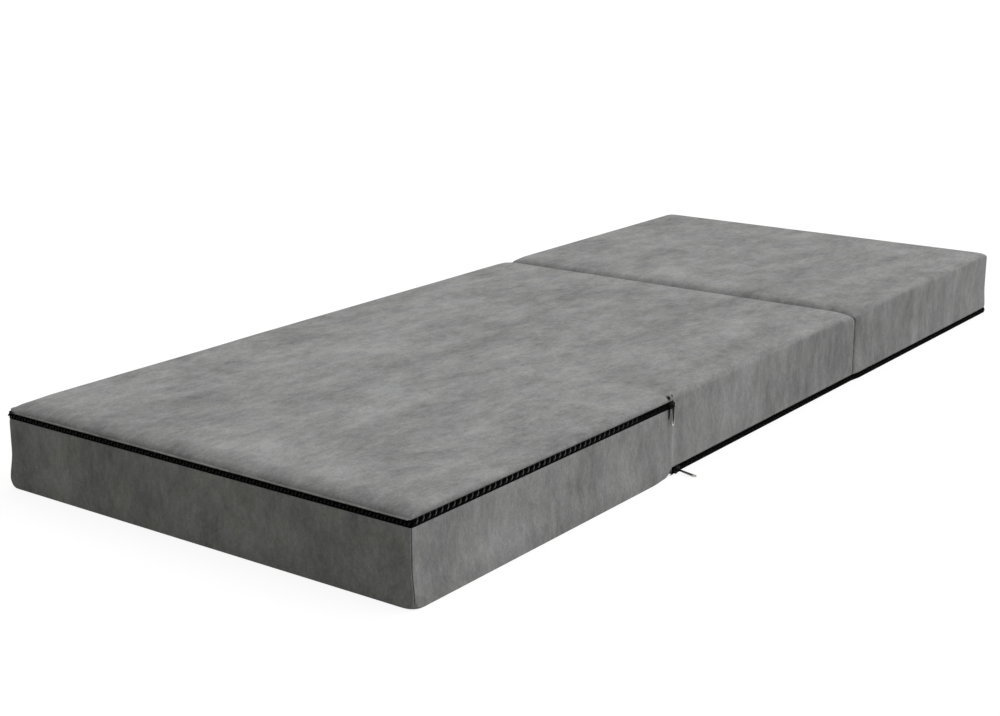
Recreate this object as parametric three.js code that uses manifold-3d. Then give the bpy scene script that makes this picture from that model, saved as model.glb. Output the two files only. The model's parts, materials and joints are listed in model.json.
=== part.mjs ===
// Folding mattress in three sections, unfolded and lying flat.
// Millimetres, +Z up. X is the width and Y is the length, with the foot end at the low end of Y.
// The origin is the middle of the underside.
//
// The foot section folds up and over the middle one about its top edge, where one cloth runs across.
// The head section folds down and under the middle one about its bottom edge.
// The foot section opens by a zip round its top edge, the other two by a zip round their bottom edge.

import * as THREE from 'three';
import Module from 'manifold-3d';

const wasm = await Module();
wasm.setup();

// Whole mattress
const mattressWidth = 800;
const mattressThickness = 132;
const footLength = 656;
const middleLength = 666;
const headLength = 678;
// Space between the facing ends of two sections
const foldGap = 0.6;

// Cloth and foam
const clothThickness = 1.5;
const foamClearance = 0.3;
const seamClearance = 0.3;

// Plan corners: at the free ends, and the tighter ones beside a fold
const endCornerRadius = 5;
const foldCornerRadius = 4;
// How far a corner softens as the cloth rolls inwards over the foam
const cornerSofteningShare = 0.6;

// Rolled top edges of the middle and head sections
const shoulderWidth = 42;
const shoulderHeight = 20;
const grooveShoulderLength = 34;

// Pillowed top of the foot section
const crownWidth = 36;

// Underside of the foot section: a tight roll along its sides, ball corners at the free end,
// and a long upward curl at the fold
const underRollWidth = 4;
const underRollHeight = 4;
const underCornerRadius = 22;
const foldCurlLength = 42;
const foldCurlHeight = 16;

// Zip: two tapes on the cloth edges and one closed chain of teeth over them
const footZipHeight = 118;
const mainZipHeight = 6;
const zipRecess = 1.6;
const recessBlend = 6;
const clothEdgeGap = 2;
const tapeClearance = 0.3;
const tapeThickness = 0.8;
const stripWidth = 11;
const tapeEdgeGap = 2.6;
const tapeEndMargin = 1;
const toothPitch = 6;
const teethWidth = 6;
const teethFaceWidth = 3.4;
const teethHeight = 2.2;
const toothSwing = 0.8;
const stopLength = 3;
const stopWidth = 7.6;
const stopHeight = 2.8;

// Slider and its pull
const sliderLength = 14;
const sliderNoseWidth = 11.6;
const sliderNoseCorner = 3;
const sliderTailWidth = 9.4;
const sliderPlate = 1;
const sliderClearance = 0.4;
const bridgeLength = 10;
const bridgeWidth = 1.3;
const bridgeBar = 1.2;
const bridgeRise = 2.5;
const bridgeCorner = 1.6;
const weldOverlap = 0.2;
const eyeOuterRadius = 2;
const eyeBoreRadius = 1.25;
const eyeLength = 4;
const pullLength = 32;
const pullWidth = 8;
const pullShoulderWidth = 5.4;
const pullThickness = 1.2;
const pullSlotWidth = 3.6;
const pullSlotLength = 7;
const floorClearance = 0.3;

// Panels that close the ends of the covers at the folds
const windowBorder = 24;
const windowTopMargin = 8;

// One overrun serves every cut
const cutOverrun = 5;
// Vertices nearer than this are one vertex
const weldDistance = 0.0001;

// Facet counts
const cornerSteps = 4;
const rollSteps = 5;
const roundSteps = 12;

const halfWidth = mattressWidth / 2;
const nearEndY = -(footLength + middleLength + headLength) / 2;
const footFoldY = nearEndY + footLength;
const headFoldY = footFoldY + middleLength;
const farEndY = headFoldY + headLength;
const foamShrink = clothThickness + foamClearance;

// Places across the zip, counted outwards from the side of the mattress
const tapeInner = tapeClearance - zipRecess;
const tapeOuter = tapeInner + tapeThickness;
const teethInner = tapeOuter + tapeClearance;
const teethOuter = teethInner + teethHeight;
const plateInner = teethOuter + sliderClearance;
const plateOuter = plateInner + sliderPlate;
const bridgeAxis = plateOuter + bridgeRise;

// How a face of a section is shaped: drawn in along the zip, and rolled over at an edge
const zippedTop = { recess: zipRecess, roll: shoulderWidth };
const grooveTop = { recess: 0, roll: grooveShoulderLength };
const plainFold = { recess: 0, roll: 0 };
const crownEdge = { recess: zipRecess, roll: crownWidth };
const underEdge = { recess: zipRecess, roll: underRollWidth, ball: underCornerRadius - endCornerRadius };
const foldUnderEdge = { recess: 0, roll: 0, curl: foldCurlLength };
const panelEdge = { recess: zipRecess, roll: clothThickness };

const footPlan = {
  nearY: nearEndY,
  farY: footFoldY - foldGap / 2,
  nearRadius: endCornerRadius,
  farRadius: foldCornerRadius,
};
const middlePlan = {
  nearY: footFoldY + foldGap / 2,
  farY: headFoldY - foldGap / 2,
  nearRadius: foldCornerRadius,
  farRadius: foldCornerRadius,
};
const headPlan = {
  nearY: headFoldY + foldGap / 2,
  farY: farEndY,
  nearRadius: foldCornerRadius,
  farRadius: endCornerRadius,
};

// Solid through a stack of rings with equal point counts, closed by a flat cap at each end.
function closedBody(rings) {
  const count = rings[0].length;
  const positions = rings.flat().flatMap((point) => [point.x, point.y, point.z]);
  const index = [];
  for (let ring = 0; ring < rings.length - 1; ring += 1) {
    for (let step = 0; step < count; step += 1) {
      const here = ring * count + step;
      const next = ring * count + ((step + 1) % count);
      index.push(here, next, next + count);
      index.push(here, next + count, here + count);
    }
  }
  const last = (rings.length - 1) * count;
  for (let step = 1; step < count - 1; step += 1) {
    index.push(0, step + 1, step);
    index.push(last, last + step, last + step + 1);
  }
  const geometry = new THREE.BufferGeometry();
  geometry.setAttribute('position', new THREE.Float32BufferAttribute(positions, 3));
  geometry.setIndex(index);
  return facingOut(geometry);
}

function signedVolume(geometry) {
  const position = geometry.getAttribute('position');
  const index = geometry.getIndex();
  const [a, b, c] = [new THREE.Vector3(), new THREE.Vector3(), new THREE.Vector3()];
  let total = 0;
  for (let start = 0; start < index.count; start += 3) {
    a.fromBufferAttribute(position, index.getX(start));
    b.fromBufferAttribute(position, index.getX(start + 1));
    c.fromBufferAttribute(position, index.getX(start + 2));
    total += a.dot(b.cross(c));
  }
  return total / 6;
}

// A body swept the other way round has its faces turned over.
function facingOut(geometry) {
  if (signedVolume(geometry) < 0) {
    const corners = Array.from(geometry.getIndex().array).reverse();
    geometry.setIndex(corners);
  }
  return geometry;
}

function toManifold(geometry) {
  const plain = weldedPositions(geometry);
  return new wasm.Manifold(new wasm.Mesh({
    numProp: 3,
    vertProperties: plain.getAttribute('position').array,
    triVerts: Uint32Array.from(plain.getIndex().array),
  }));
}

// Vertices at one place become one vertex, because the geometry classes repeat them at each edge.
// A face that this leaves without area is dropped.
function weldedPositions(geometry) {
  const source = geometry.getAttribute('position');
  const given = geometry.getIndex();
  const count = given ? given.count : source.count;
  const places = new Map();
  const positions = [];
  const index = [];
  const weld = (corner) => {
    const vertex = given ? given.getX(corner) : corner;
    const point = [source.getX(vertex), source.getY(vertex), source.getZ(vertex)];
    const key = point.map((value) => Math.round(value / weldDistance)).join(' ');
    if (!places.has(key)) {
      places.set(key, positions.length / 3);
      positions.push(...point);
    }
    return places.get(key);
  };
  for (let start = 0; start < count; start += 3) {
    const face = [weld(start), weld(start + 1), weld(start + 2)];
    if (new Set(face).size === 3) {
      index.push(...face);
    }
  }
  const welded = new THREE.BufferGeometry();
  welded.setAttribute('position', new THREE.Float32BufferAttribute(positions, 3));
  welded.setIndex(index);
  return welded;
}

function toGeometry(solid) {
  const mesh = solid.getMesh();
  const geometry = new THREE.BufferGeometry();
  geometry.setAttribute('position', new THREE.BufferAttribute(mesh.vertProperties, 3));
  geometry.setIndex(new THREE.BufferAttribute(mesh.triVerts, 1));
  return geometry;
}

function block(lowX, highX, lowY, highY, lowZ, highZ) {
  const geometry = new THREE.BoxGeometry(highX - lowX, highY - lowY, highZ - lowZ);
  geometry.translate((lowX + highX) / 2, (lowY + highY) / 2, (lowZ + highZ) / 2);
  return geometry;
}

// Outline of a section seen from above at one level, with the face insets of that level.
function planRing(plan, faces, level, shrink) {
  const curlShare = level.curlShare ?? 0;
  const inset = (face) => shrink + face.recess * level.recessShare + face.roll * level.rollShare
    + (face.curl ?? 0) * curlShare;
  const drawnIn = (end) => Math.min(faces.side.recess, end.recess) * level.recessShare;
  const softened = (end) => Math.min(faces.side.roll, end.roll) * level.rollShare * cornerSofteningShare
    + (end.ball ?? 0) * curlShare;
  const corner = (radius, end) => radius - shrink - drawnIn(end) + softened(end);
  const highX = halfWidth - inset(faces.side);
  const lowY = plan.nearY + inset(faces.near);
  const highY = plan.farY - inset(faces.far);
  const nearRadius = corner(plan.nearRadius, faces.near);
  const farRadius = corner(plan.farRadius, faces.far);
  const corners = [
    { x: highX - nearRadius, y: lowY + nearRadius, radius: nearRadius },
    { x: highX - farRadius, y: highY - farRadius, radius: farRadius },
    { x: farRadius - highX, y: highY - farRadius, radius: farRadius },
    { x: nearRadius - highX, y: lowY + nearRadius, radius: nearRadius },
  ];
  return corners.flatMap((centre, quarter) => arcPoints(centre, quarter - 1, level.z));
}

function arcPoints(centre, quarterTurns, z) {
  const points = [];
  for (let step = 0; step <= cornerSteps; step += 1) {
    const angle = (quarterTurns + step / cornerSteps) * Math.PI / 2;
    const x = centre.x + centre.radius * Math.cos(angle);
    const y = centre.y + centre.radius * Math.sin(angle);
    points.push(new THREE.Vector3(x, y, z));
  }
  return points;
}

function sectionBody(plan, faces, levels, shrink) {
  return closedBody(levels.map((level) => planRing(plan, faces, level, shrink)));
}

// Levels of a quarter roll from a wall at lowZ up to a flat top at highZ.
function topRoll(lowZ, highZ, recessShare) {
  const levels = [];
  for (let step = 0; step <= rollSteps; step += 1) {
    const angle = (step / rollSteps) * Math.PI / 2;
    const z = lowZ + (highZ - lowZ) * Math.sin(angle);
    levels.push({ z, recessShare, rollShare: 1 - Math.cos(angle) });
  }
  return levels;
}

// Share that is left at height z of a quarter roll, from a flat underside at lowZ up to a wall at highZ.
function underShare(z, lowZ, highZ) {
  const drop = Math.max(0, (highZ - z) / (highZ - lowZ));
  return 1 - Math.sqrt(1 - drop * drop);
}

// Levels of the foot's underside. The curl and the ball corners rise higher than the roll along the sides.
function underLevels(lowZ) {
  const heights = [underRollHeight];
  for (let step = 0; step <= rollSteps; step += 1) {
    const angle = (step / rollSteps) * Math.PI / 2;
    heights.push(foldCurlHeight - (foldCurlHeight - lowZ) * Math.sin(angle));
  }
  return heights.sort((a, b) => a - b).map((z) => ({
    z,
    recessShare: 0,
    rollShare: underShare(z, lowZ, underRollHeight),
    curlShare: underShare(z, lowZ, foldCurlHeight),
  }));
}

// Middle and head covers: drawn in at the zip, upright, then rolled over at the top.
function coverLevels(lowZ, shrink) {
  const stripTop = mainZipHeight + stripWidth / 2;
  return [
    { z: lowZ, recessShare: 1, rollShare: 0 },
    { z: stripTop, recessShare: 1, rollShare: 0 },
    { z: stripTop + recessBlend, recessShare: 0, rollShare: 0 },
    ...topRoll(mattressThickness - shoulderHeight, mattressThickness - shrink, 0),
  ];
}

// Foot section's top: upright beside the zip, then rolled over into the crown.
function crownLevels(lowZ, shrink) {
  return [
    { z: lowZ, recessShare: 1, rollShare: 0 },
    ...topRoll(footZipHeight + stripWidth / 2, mattressThickness - shrink, 1),
  ];
}

// Foot section's tray: rolled underside, upright walls, drawn in at the zip.
function trayLevels(highZ, shrink) {
  const stripBottom = footZipHeight - stripWidth / 2;
  return [
    ...underLevels(shrink),
    { z: stripBottom - recessBlend, recessShare: 0, rollShare: 0 },
    { z: stripBottom, recessShare: 1, rollShare: 0 },
    { z: highZ, recessShare: 1, rollShare: 0 },
  ];
}

// Underside panel of the middle and head sections, with its edge turned up to the zip.
function undersideLevels(highZ) {
  return [
    { z: 0, recessShare: 1, rollShare: 1 },
    { z: clothThickness, recessShare: 1, rollShare: 0 },
    { z: highZ, recessShare: 1, rollShare: 0 },
  ];
}

function straightLevels(lowZ, highZ) {
  return [
    { z: lowZ, recessShare: 1, rollShare: 0 },
    { z: highZ, recessShare: 1, rollShare: 0 },
  ];
}

const middleTopFaces = { side: zippedTop, near: plainFold, far: grooveTop };
const headTopFaces = { side: zippedTop, near: grooveTop, far: zippedTop };
const footCrownFaces = { side: crownEdge, near: crownEdge, far: plainFold };
const footTrayFaces = { side: underEdge, near: underEdge, far: foldUnderEdge };
const middlePanelFaces = { side: panelEdge, near: plainFold, far: plainFold };
const headPanelFaces = { side: panelEdge, near: plainFold, far: panelEdge };

const underEdgeZ = mainZipHeight - clothEdgeGap / 2;
const coverEdgeZ = mainZipHeight + clothEdgeGap / 2;
const trayRimZ = footZipHeight - clothEdgeGap / 2;
const crownRimZ = footZipHeight + clothEdgeGap / 2;
const windowX = halfWidth - windowBorder;
const coverWindowTop = mattressThickness - shoulderHeight - windowTopMargin;
const footWindowTop = mattressThickness - windowTopMargin;
const footWindowBottom = foldCurlHeight + windowTopMargin;

// Opening through an end wall at a fold, where a separate panel is sewn in.
function foldWindow(wallY, inwards, lowZ, highZ) {
  const outside = wallY - inwards * cutOverrun;
  const inside = wallY + inwards * (clothThickness + seamClearance);
  return block(-windowX, windowX, Math.min(outside, inside), Math.max(outside, inside), lowZ, highZ);
}

// The panel itself, flush with the end of its section.
function foldPanel(wallY, inwards, lowZ, highZ) {
  const x = windowX - seamClearance;
  const inside = wallY + inwards * clothThickness;
  return block(-x, x, Math.min(wallY, inside), Math.max(wallY, inside), lowZ, highZ);
}

function hollowCover(plan, faces, windows) {
  const outer = toManifold(sectionBody(plan, faces, coverLevels(coverEdgeZ, 0), 0));
  const innerLevels = coverLevels(coverEdgeZ - cutOverrun, clothThickness);
  const inner = sectionBody(plan, faces, innerLevels, clothThickness);
  return toGeometry(windows.reduce((solid, window) => solid.subtract(toManifold(window)),
    outer.subtract(toManifold(inner))));
}

function middleCover() {
  const lowZ = coverEdgeZ - cutOverrun;
  return hollowCover(middlePlan, middleTopFaces, [
    foldWindow(middlePlan.nearY, 1, lowZ, coverWindowTop),
    foldWindow(middlePlan.farY, -1, lowZ, coverWindowTop),
  ]);
}

function headCover() {
  const lowZ = coverEdgeZ - cutOverrun;
  return hollowCover(headPlan, headTopFaces, [
    foldWindow(headPlan.nearY, 1, lowZ, coverWindowTop),
  ]);
}

function coverEndPanel(wallY, inwards) {
  return foldPanel(wallY, inwards, underEdgeZ + seamClearance, coverWindowTop - seamClearance);
}

function underside(plan, faces) {
  const outer = toManifold(sectionBody(plan, faces, undersideLevels(underEdgeZ), 0));
  const innerLevels = straightLevels(clothThickness, underEdgeZ + cutOverrun);
  const inner = sectionBody(plan, faces, innerLevels, clothThickness);
  return toGeometry(outer.subtract(toManifold(inner)));
}

function footTopPanel() {
  const outer = toManifold(sectionBody(footPlan, footCrownFaces, crownLevels(crownRimZ, 0), 0));
  const innerLevels = crownLevels(crownRimZ - cutOverrun, clothThickness);
  const inner = sectionBody(footPlan, footCrownFaces, innerLevels, clothThickness);
  const window = foldWindow(footPlan.farY, -1, crownRimZ - cutOverrun, footWindowTop);
  return toGeometry(outer.subtract(toManifold(inner)).subtract(toManifold(window)));
}

function footTray() {
  const outer = toManifold(sectionBody(footPlan, footTrayFaces, trayLevels(trayRimZ, 0), 0));
  const innerLevels = trayLevels(trayRimZ + cutOverrun, clothThickness);
  const inner = sectionBody(footPlan, footTrayFaces, innerLevels, clothThickness);
  const window = foldWindow(footPlan.farY, -1, footWindowBottom, trayRimZ + cutOverrun);
  return toGeometry(outer.subtract(toManifold(inner)).subtract(toManifold(window)));
}

function footFoldPanel() {
  return foldPanel(footPlan.farY, -1, footWindowBottom + seamClearance, footWindowTop - seamClearance);
}

// Foam blocks, cut to the inside of their covers with the same rolled edges.
function coveredFoam(plan, faces) {
  return sectionBody(plan, faces, coverLevels(foamShrink, foamShrink), foamShrink);
}

function footFoam() {
  const lower = sectionBody(footPlan, footTrayFaces, trayLevels(footZipHeight, foamShrink), foamShrink);
  const upper = sectionBody(footPlan, footCrownFaces, crownLevels(footZipHeight, foamShrink), foamShrink);
  return toGeometry(toManifold(lower).add(toManifold(upper)));
}

// Stations along one straight side, each with its outward direction.
function straightRun(from, to, out, pitch) {
  const steps = Math.max(1, Math.round(from.distanceTo(to) / pitch));
  const stations = [];
  for (let step = 0; step <= steps; step += 1) {
    stations.push({ place: from.clone().lerp(to, step / steps), out });
  }
  return stations;
}

// Stations round a free end of the mattress: side, corner, end, corner, side.
// Towards is -1 for the foot end and +1 for the head end.
function endRun(foldY, endY, towards, pitch) {
  const straightX = halfWidth - endCornerRadius;
  const straightY = endY - towards * endCornerRadius;
  const right = new THREE.Vector2(1, 0);
  const left = new THREE.Vector2(-1, 0);
  const away = new THREE.Vector2(0, towards);
  const run = [];
  run.push(...straightRun(
    new THREE.Vector2(halfWidth, foldY), new THREE.Vector2(halfWidth, straightY), right, pitch,
  ));
  run.push(...cornerStations(straightX, straightY, towards, 0));
  run.push(...straightRun(
    new THREE.Vector2(straightX, endY), new THREE.Vector2(-straightX, endY), away, pitch,
  ));
  run.push(...cornerStations(-straightX, straightY, towards, 1));
  run.push(...straightRun(
    new THREE.Vector2(-halfWidth, straightY), new THREE.Vector2(-halfWidth, foldY), left, pitch,
  ));
  return run;
}

// Stations strictly inside one corner arc, because the straight runs hold its two ends.
function cornerStations(centreX, centreY, towards, quarter) {
  const stations = [];
  for (let step = 1; step < cornerSteps; step += 1) {
    const angle = (quarter + step / cornerSteps) * Math.PI / 2;
    const out = new THREE.Vector2(Math.cos(angle), towards * Math.sin(angle));
    const place = new THREE.Vector2(centreX, centreY).addScaledVector(out, endCornerRadius);
    stations.push({ place, out });
  }
  return stations;
}

// Body along a run. The section gives its corners as [outwards, height] pairs for each station.
function sweptStrip(run, section) {
  return closedBody(run.map((station, number) => section(number).map(([outwards, z]) => {
    const place = station.place.clone().addScaledVector(station.out, outwards);
    return new THREE.Vector3(place.x, place.y, z);
  })));
}

function tape(run, lowZ, highZ) {
  return sweptStrip(run, () => [
    [tapeInner, lowZ],
    [tapeOuter, lowZ],
    [tapeOuter, highZ],
    [tapeInner, highZ],
  ]);
}

function upperTape(run, zipHeight) {
  return tape(run, zipHeight + tapeEdgeGap / 2, zipHeight + stripWidth / 2);
}

function lowerTape(run, zipHeight) {
  return tape(run, zipHeight - stripWidth / 2, zipHeight - tapeEdgeGap / 2);
}

// Closed chain: its face steps up and down, one step for a tooth of the upper tape, the next for the lower.
function teeth(run, zipHeight) {
  return sweptStrip(run, (number) => {
    const swing = number % 2 === 0 ? toothSwing : -toothSwing;
    const faceMiddle = zipHeight + swing;
    return [
      [teethInner, zipHeight - teethWidth / 2],
      [teethOuter, faceMiddle - teethFaceWidth / 2],
      [teethOuter, faceMiddle + teethFaceWidth / 2],
      [teethInner, zipHeight + teethWidth / 2],
    ];
  });
}

// Metal clamp over the end of the chain.
function endStop(side, foldY, inwards, zipHeight) {
  const start = foldY + inwards * tapeEndMargin;
  const end = start + inwards * stopLength;
  const inner = side * (halfWidth + teethInner);
  const outer = side * (halfWidth + teethInner + stopHeight);
  return block(
    Math.min(inner, outer), Math.max(inner, outer),
    Math.min(start, end), Math.max(start, end),
    zipHeight - stopWidth / 2, zipHeight + stopWidth / 2,
  );
}

const tapeStart = tapeEndMargin;
const teethStart = tapeEndMargin + stopLength + seamClearance;
const sliderStart = tapeEndMargin + stopLength + sliderClearance + sliderLength / 2;

function footRun(startMargin, pitch) {
  return endRun(footPlan.farY - startMargin, footPlan.nearY, -1, pitch);
}

function headRun(startMargin, pitch) {
  return endRun(headPlan.nearY + startMargin, headPlan.farY, 1, pitch);
}

function middleRun(side, startMargin, pitch) {
  return straightRun(
    new THREE.Vector2(side * halfWidth, middlePlan.nearY + startMargin),
    new THREE.Vector2(side * halfWidth, middlePlan.farY - tapeEndMargin),
    new THREE.Vector2(side, 0),
    pitch,
  );
}

// Extrusion whose outline lies along the zip and upwards, and which grows outwards from the side.
const alongUpOut = new THREE.Matrix4().makeBasis(
  new THREE.Vector3(0, 1, 0), new THREE.Vector3(0, 0, 1), new THREE.Vector3(1, 0, 0),
);
// Extrusion whose outline lies along the zip and outwards, and which grows downwards.
const alongOutDown = new THREE.Matrix4().makeBasis(
  new THREE.Vector3(0, 1, 0), new THREE.Vector3(1, 0, 0), new THREE.Vector3(0, 0, -1),
);

function extruded(shape, depth, basis) {
  const curveSegments = roundSteps / 4;
  const geometry = new THREE.ExtrudeGeometry(shape, { depth, bevelEnabled: false, curveSegments });
  geometry.applyMatrix4(basis);
  return geometry;
}

// Shield outline of the slider: narrow where the closed chain leaves, wide and rounded at the nose.
function sliderOutline() {
  const shape = new THREE.Shape();
  const tail = sliderTailWidth / 2;
  const nose = sliderNoseWidth / 2;
  const half = sliderLength / 2;
  shape.moveTo(-half, -tail);
  shape.lineTo(0, -tail);
  shape.lineTo(half - sliderNoseCorner, -nose);
  shape.quadraticCurveTo(half, -nose, half, sliderNoseCorner - nose);
  shape.lineTo(half, nose - sliderNoseCorner);
  shape.quadraticCurveTo(half, nose, half - sliderNoseCorner, nose);
  shape.lineTo(0, tail);
  shape.lineTo(-half, tail);
  shape.closePath();
  return shape;
}

// Arch over the face of the slider, which the pull's eye hangs on.
function bridgeOutline() {
  const shape = new THREE.Shape();
  const outer = bridgeLength / 2;
  const inner = outer - bridgeBar;
  const top = bridgeRise + bridgeBar / 2;
  const under = bridgeRise - bridgeBar / 2;
  shape.moveTo(-outer, -weldOverlap);
  shape.lineTo(-outer, top - bridgeCorner);
  shape.quadraticCurveTo(-outer, top, bridgeCorner - outer, top);
  shape.lineTo(outer - bridgeCorner, top);
  shape.quadraticCurveTo(outer, top, outer, top - bridgeCorner);
  shape.lineTo(outer, -weldOverlap);
  shape.lineTo(inner, -weldOverlap);
  shape.lineTo(inner, under);
  shape.lineTo(-inner, under);
  shape.lineTo(-inner, -weldOverlap);
  shape.closePath();
  return shape;
}

// Slider in its own frame: along the zip, on the zip's centre line, outwards from the side.
function sliderBody() {
  const flangeFoot = tapeOuter + sliderClearance;
  const shell = extruded(sliderOutline(), plateOuter - flangeFoot, alongUpOut);
  shell.translate(flangeFoot, 0, 0);
  const channelHalf = teethWidth / 2 + sliderClearance;
  const channel = block(
    flangeFoot - cutOverrun, plateInner,
    -sliderLength, sliderLength,
    -channelHalf, channelHalf,
  );
  const bridge = extruded(bridgeOutline(), bridgeWidth, alongOutDown);
  bridge.translate(plateOuter, 0, bridgeWidth / 2);
  return toGeometry(toManifold(shell).subtract(toManifold(channel)).add(toManifold(bridge)));
}

function roundBar(radius, length) {
  return new THREE.CylinderGeometry(radius, radius, length, roundSteps);
}

function roundedSlot(width, length) {
  const slot = new THREE.Path();
  const reach = (length - width) / 2;
  slot.absarc(0, reach, width / 2, 0, Math.PI, false);
  slot.absarc(0, -reach, width / 2, Math.PI, 2 * Math.PI, false);
  return slot;
}

// Pull hanging straight down from its pivot: a rolled eye, a tab that widens downwards, and a slot
// that runs into its round end.
function zipPull() {
  const half = pullWidth / 2;
  const neck = eyeLength / 2;
  const shoulder = pullShoulderWidth / 2;
  const shoulderZ = neck - shoulder - eyeOuterRadius;
  const bottom = half - pullLength;
  const shape = new THREE.Shape();
  shape.moveTo(neck, 0);
  shape.lineTo(-neck, 0);
  shape.lineTo(-neck, -eyeOuterRadius);
  shape.lineTo(-shoulder, shoulderZ);
  shape.absarc(0, bottom, half, Math.PI, 2 * Math.PI, false);
  shape.lineTo(shoulder, shoulderZ);
  shape.lineTo(neck, -eyeOuterRadius);
  shape.closePath();
  const slot = roundedSlot(pullSlotWidth, pullSlotLength);
  const slotMiddle = bottom + (pullSlotLength - pullSlotWidth) / 2;
  shape.holes.push(new THREE.Path(slot.getPoints(roundSteps / 4).map((point) => (
    new THREE.Vector2(point.x, point.y + slotMiddle)))));
  const tab = extruded(shape, pullThickness, alongUpOut);
  tab.translate(-pullThickness / 2, 0, 0);
  const eye = toManifold(roundBar(eyeOuterRadius, eyeLength));
  const bore = toManifold(roundBar(eyeBoreRadius, eyeLength + cutOverrun));
  return toGeometry(toManifold(tab).add(eye).subtract(bore));
}

// Materials: soft grey pile cloth, the duller lining cloth, open foam, zip tape, zip teeth, enamelled metal
// and plated metal
const pileCloth = { color: 0x8c8c8c, roughness: 1, metalness: 0 };
const liningCloth = { color: 0x6f6f6d, roughness: 1, metalness: 0 };
const openFoam = { color: 0xe6e0cd, roughness: 0.95, metalness: 0 };
const wovenTape = { color: 0x121210, roughness: 0.9, metalness: 0 };
const mouldedTeeth = { color: 0x16160f, roughness: 0.45, metalness: 0 };
const enamelledMetal = { color: 0x181818, roughness: 0.4, metalness: 0 };
const platedMetal = { color: 0xc4c4c2, roughness: 0.25, metalness: 1 };

function addPiece(group, name, geometry, look) {
  const piece = new THREE.Mesh(geometry, new THREE.MeshStandardMaterial({ ...look, flatShading: true }));
  piece.name = name;
  group.add(piece);
  return piece;
}

// Slider with its pull, both placed from the zip they run on. The nose faces the closed end of the zip,
// and the pull turns about the bridge.
function addSlider(group, name, y, zipHeight, noseTurn, pullTurn) {
  const carriage = new THREE.Group();
  carriage.position.set(halfWidth, y, zipHeight);
  group.add(carriage);
  const slider = addPiece(carriage, `${name}_slider`, sliderBody(), enamelledMetal);
  slider.rotation.x = noseTurn;
  const pull = addPiece(carriage, `${name}_pull`, zipPull(), platedMetal);
  pull.position.set(bridgeAxis, 0, 0);
  pull.rotation.y = pullTurn;
}

function middleSection() {
  const group = new THREE.Group();
  addPiece(group, 'middle_foam', coveredFoam(middlePlan, middleTopFaces), openFoam);
  addPiece(group, 'middle_cover', middleCover(), pileCloth);
  addPiece(group, 'middle_foot_end_panel', coverEndPanel(middlePlan.nearY, 1), liningCloth);
  addPiece(group, 'middle_head_end_panel', coverEndPanel(middlePlan.farY, -1), liningCloth);
  addPiece(group, 'middle_underside', underside(middlePlan, middlePanelFaces), pileCloth);
  [['right', 1], ['left', -1]].forEach(([label, side]) => {
    const tapeRun = middleRun(side, tapeStart, middleLength);
    const teethRun = middleRun(side, teethStart, toothPitch);
    const stop = endStop(side, middlePlan.nearY, 1, mainZipHeight);
    addPiece(group, `main_zip_upper_tape_${label}`, upperTape(tapeRun, mainZipHeight), wovenTape);
    addPiece(group, `main_zip_lower_tape_${label}`, lowerTape(tapeRun, mainZipHeight), wovenTape);
    addPiece(group, `main_zip_teeth_${label}`, teeth(teethRun, mainZipHeight), mouldedTeeth);
    addPiece(group, `main_zip_end_stop_${label}`, stop, enamelledMetal);
  });
  const pullDip = Math.asin((mainZipHeight - pullThickness / 2 - floorClearance) / pullLength);
  const sliderY = middlePlan.nearY + sliderStart;
  addSlider(group, 'main_zip', sliderY, mainZipHeight, Math.PI, pullDip - Math.PI / 2);
  return group;
}

function footSection() {
  const group = new THREE.Group();
  const tapeRun = footRun(tapeStart, footLength + mattressWidth);
  addPiece(group, 'foot_foam', footFoam(), openFoam);
  addPiece(group, 'foot_top_panel', footTopPanel(), pileCloth);
  addPiece(group, 'foot_tray', footTray(), pileCloth);
  addPiece(group, 'foot_fold_end_panel', footFoldPanel(), liningCloth);
  addPiece(group, 'foot_zip_upper_tape', upperTape(tapeRun, footZipHeight), wovenTape);
  addPiece(group, 'foot_zip_lower_tape', lowerTape(tapeRun, footZipHeight), wovenTape);
  addPiece(group, 'foot_zip_teeth', teeth(footRun(teethStart, toothPitch), footZipHeight), mouldedTeeth);
  addPiece(group, 'foot_zip_end_stop_right', endStop(1, footPlan.farY, -1, footZipHeight), enamelledMetal);
  addPiece(group, 'foot_zip_end_stop_left', endStop(-1, footPlan.farY, -1, footZipHeight), enamelledMetal);
  addSlider(group, 'foot_zip', footPlan.farY - sliderStart, footZipHeight, 0, 0);
  return group;
}

function headSection() {
  const group = new THREE.Group();
  const tapeRun = headRun(tapeStart, headLength + mattressWidth);
  addPiece(group, 'head_foam', coveredFoam(headPlan, headTopFaces), openFoam);
  addPiece(group, 'head_cover', headCover(), pileCloth);
  addPiece(group, 'head_fold_end_panel', coverEndPanel(headPlan.nearY, 1), liningCloth);
  addPiece(group, 'head_underside', underside(headPlan, headPanelFaces), pileCloth);
  addPiece(group, 'head_zip_upper_tape', upperTape(tapeRun, mainZipHeight), wovenTape);
  addPiece(group, 'head_zip_lower_tape', lowerTape(tapeRun, mainZipHeight), wovenTape);
  addPiece(group, 'head_zip_teeth', teeth(headRun(tapeStart, toothPitch), mainZipHeight), mouldedTeeth);
  return group;
}

const foldingMattress = new THREE.Group();
foldingMattress.name = 'folding_mattress';
foldingMattress.add(middleSection(), footSection(), headSection());

export default foldingMattress;
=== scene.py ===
"""Folding mattress: three foam sections in a velour cover with two zips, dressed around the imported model."""
import json
import math

import bmesh
import bpy
import numpy as np
from bpy.props import FloatProperty, FloatVectorProperty, PointerProperty, StringProperty
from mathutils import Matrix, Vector, noise


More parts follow.
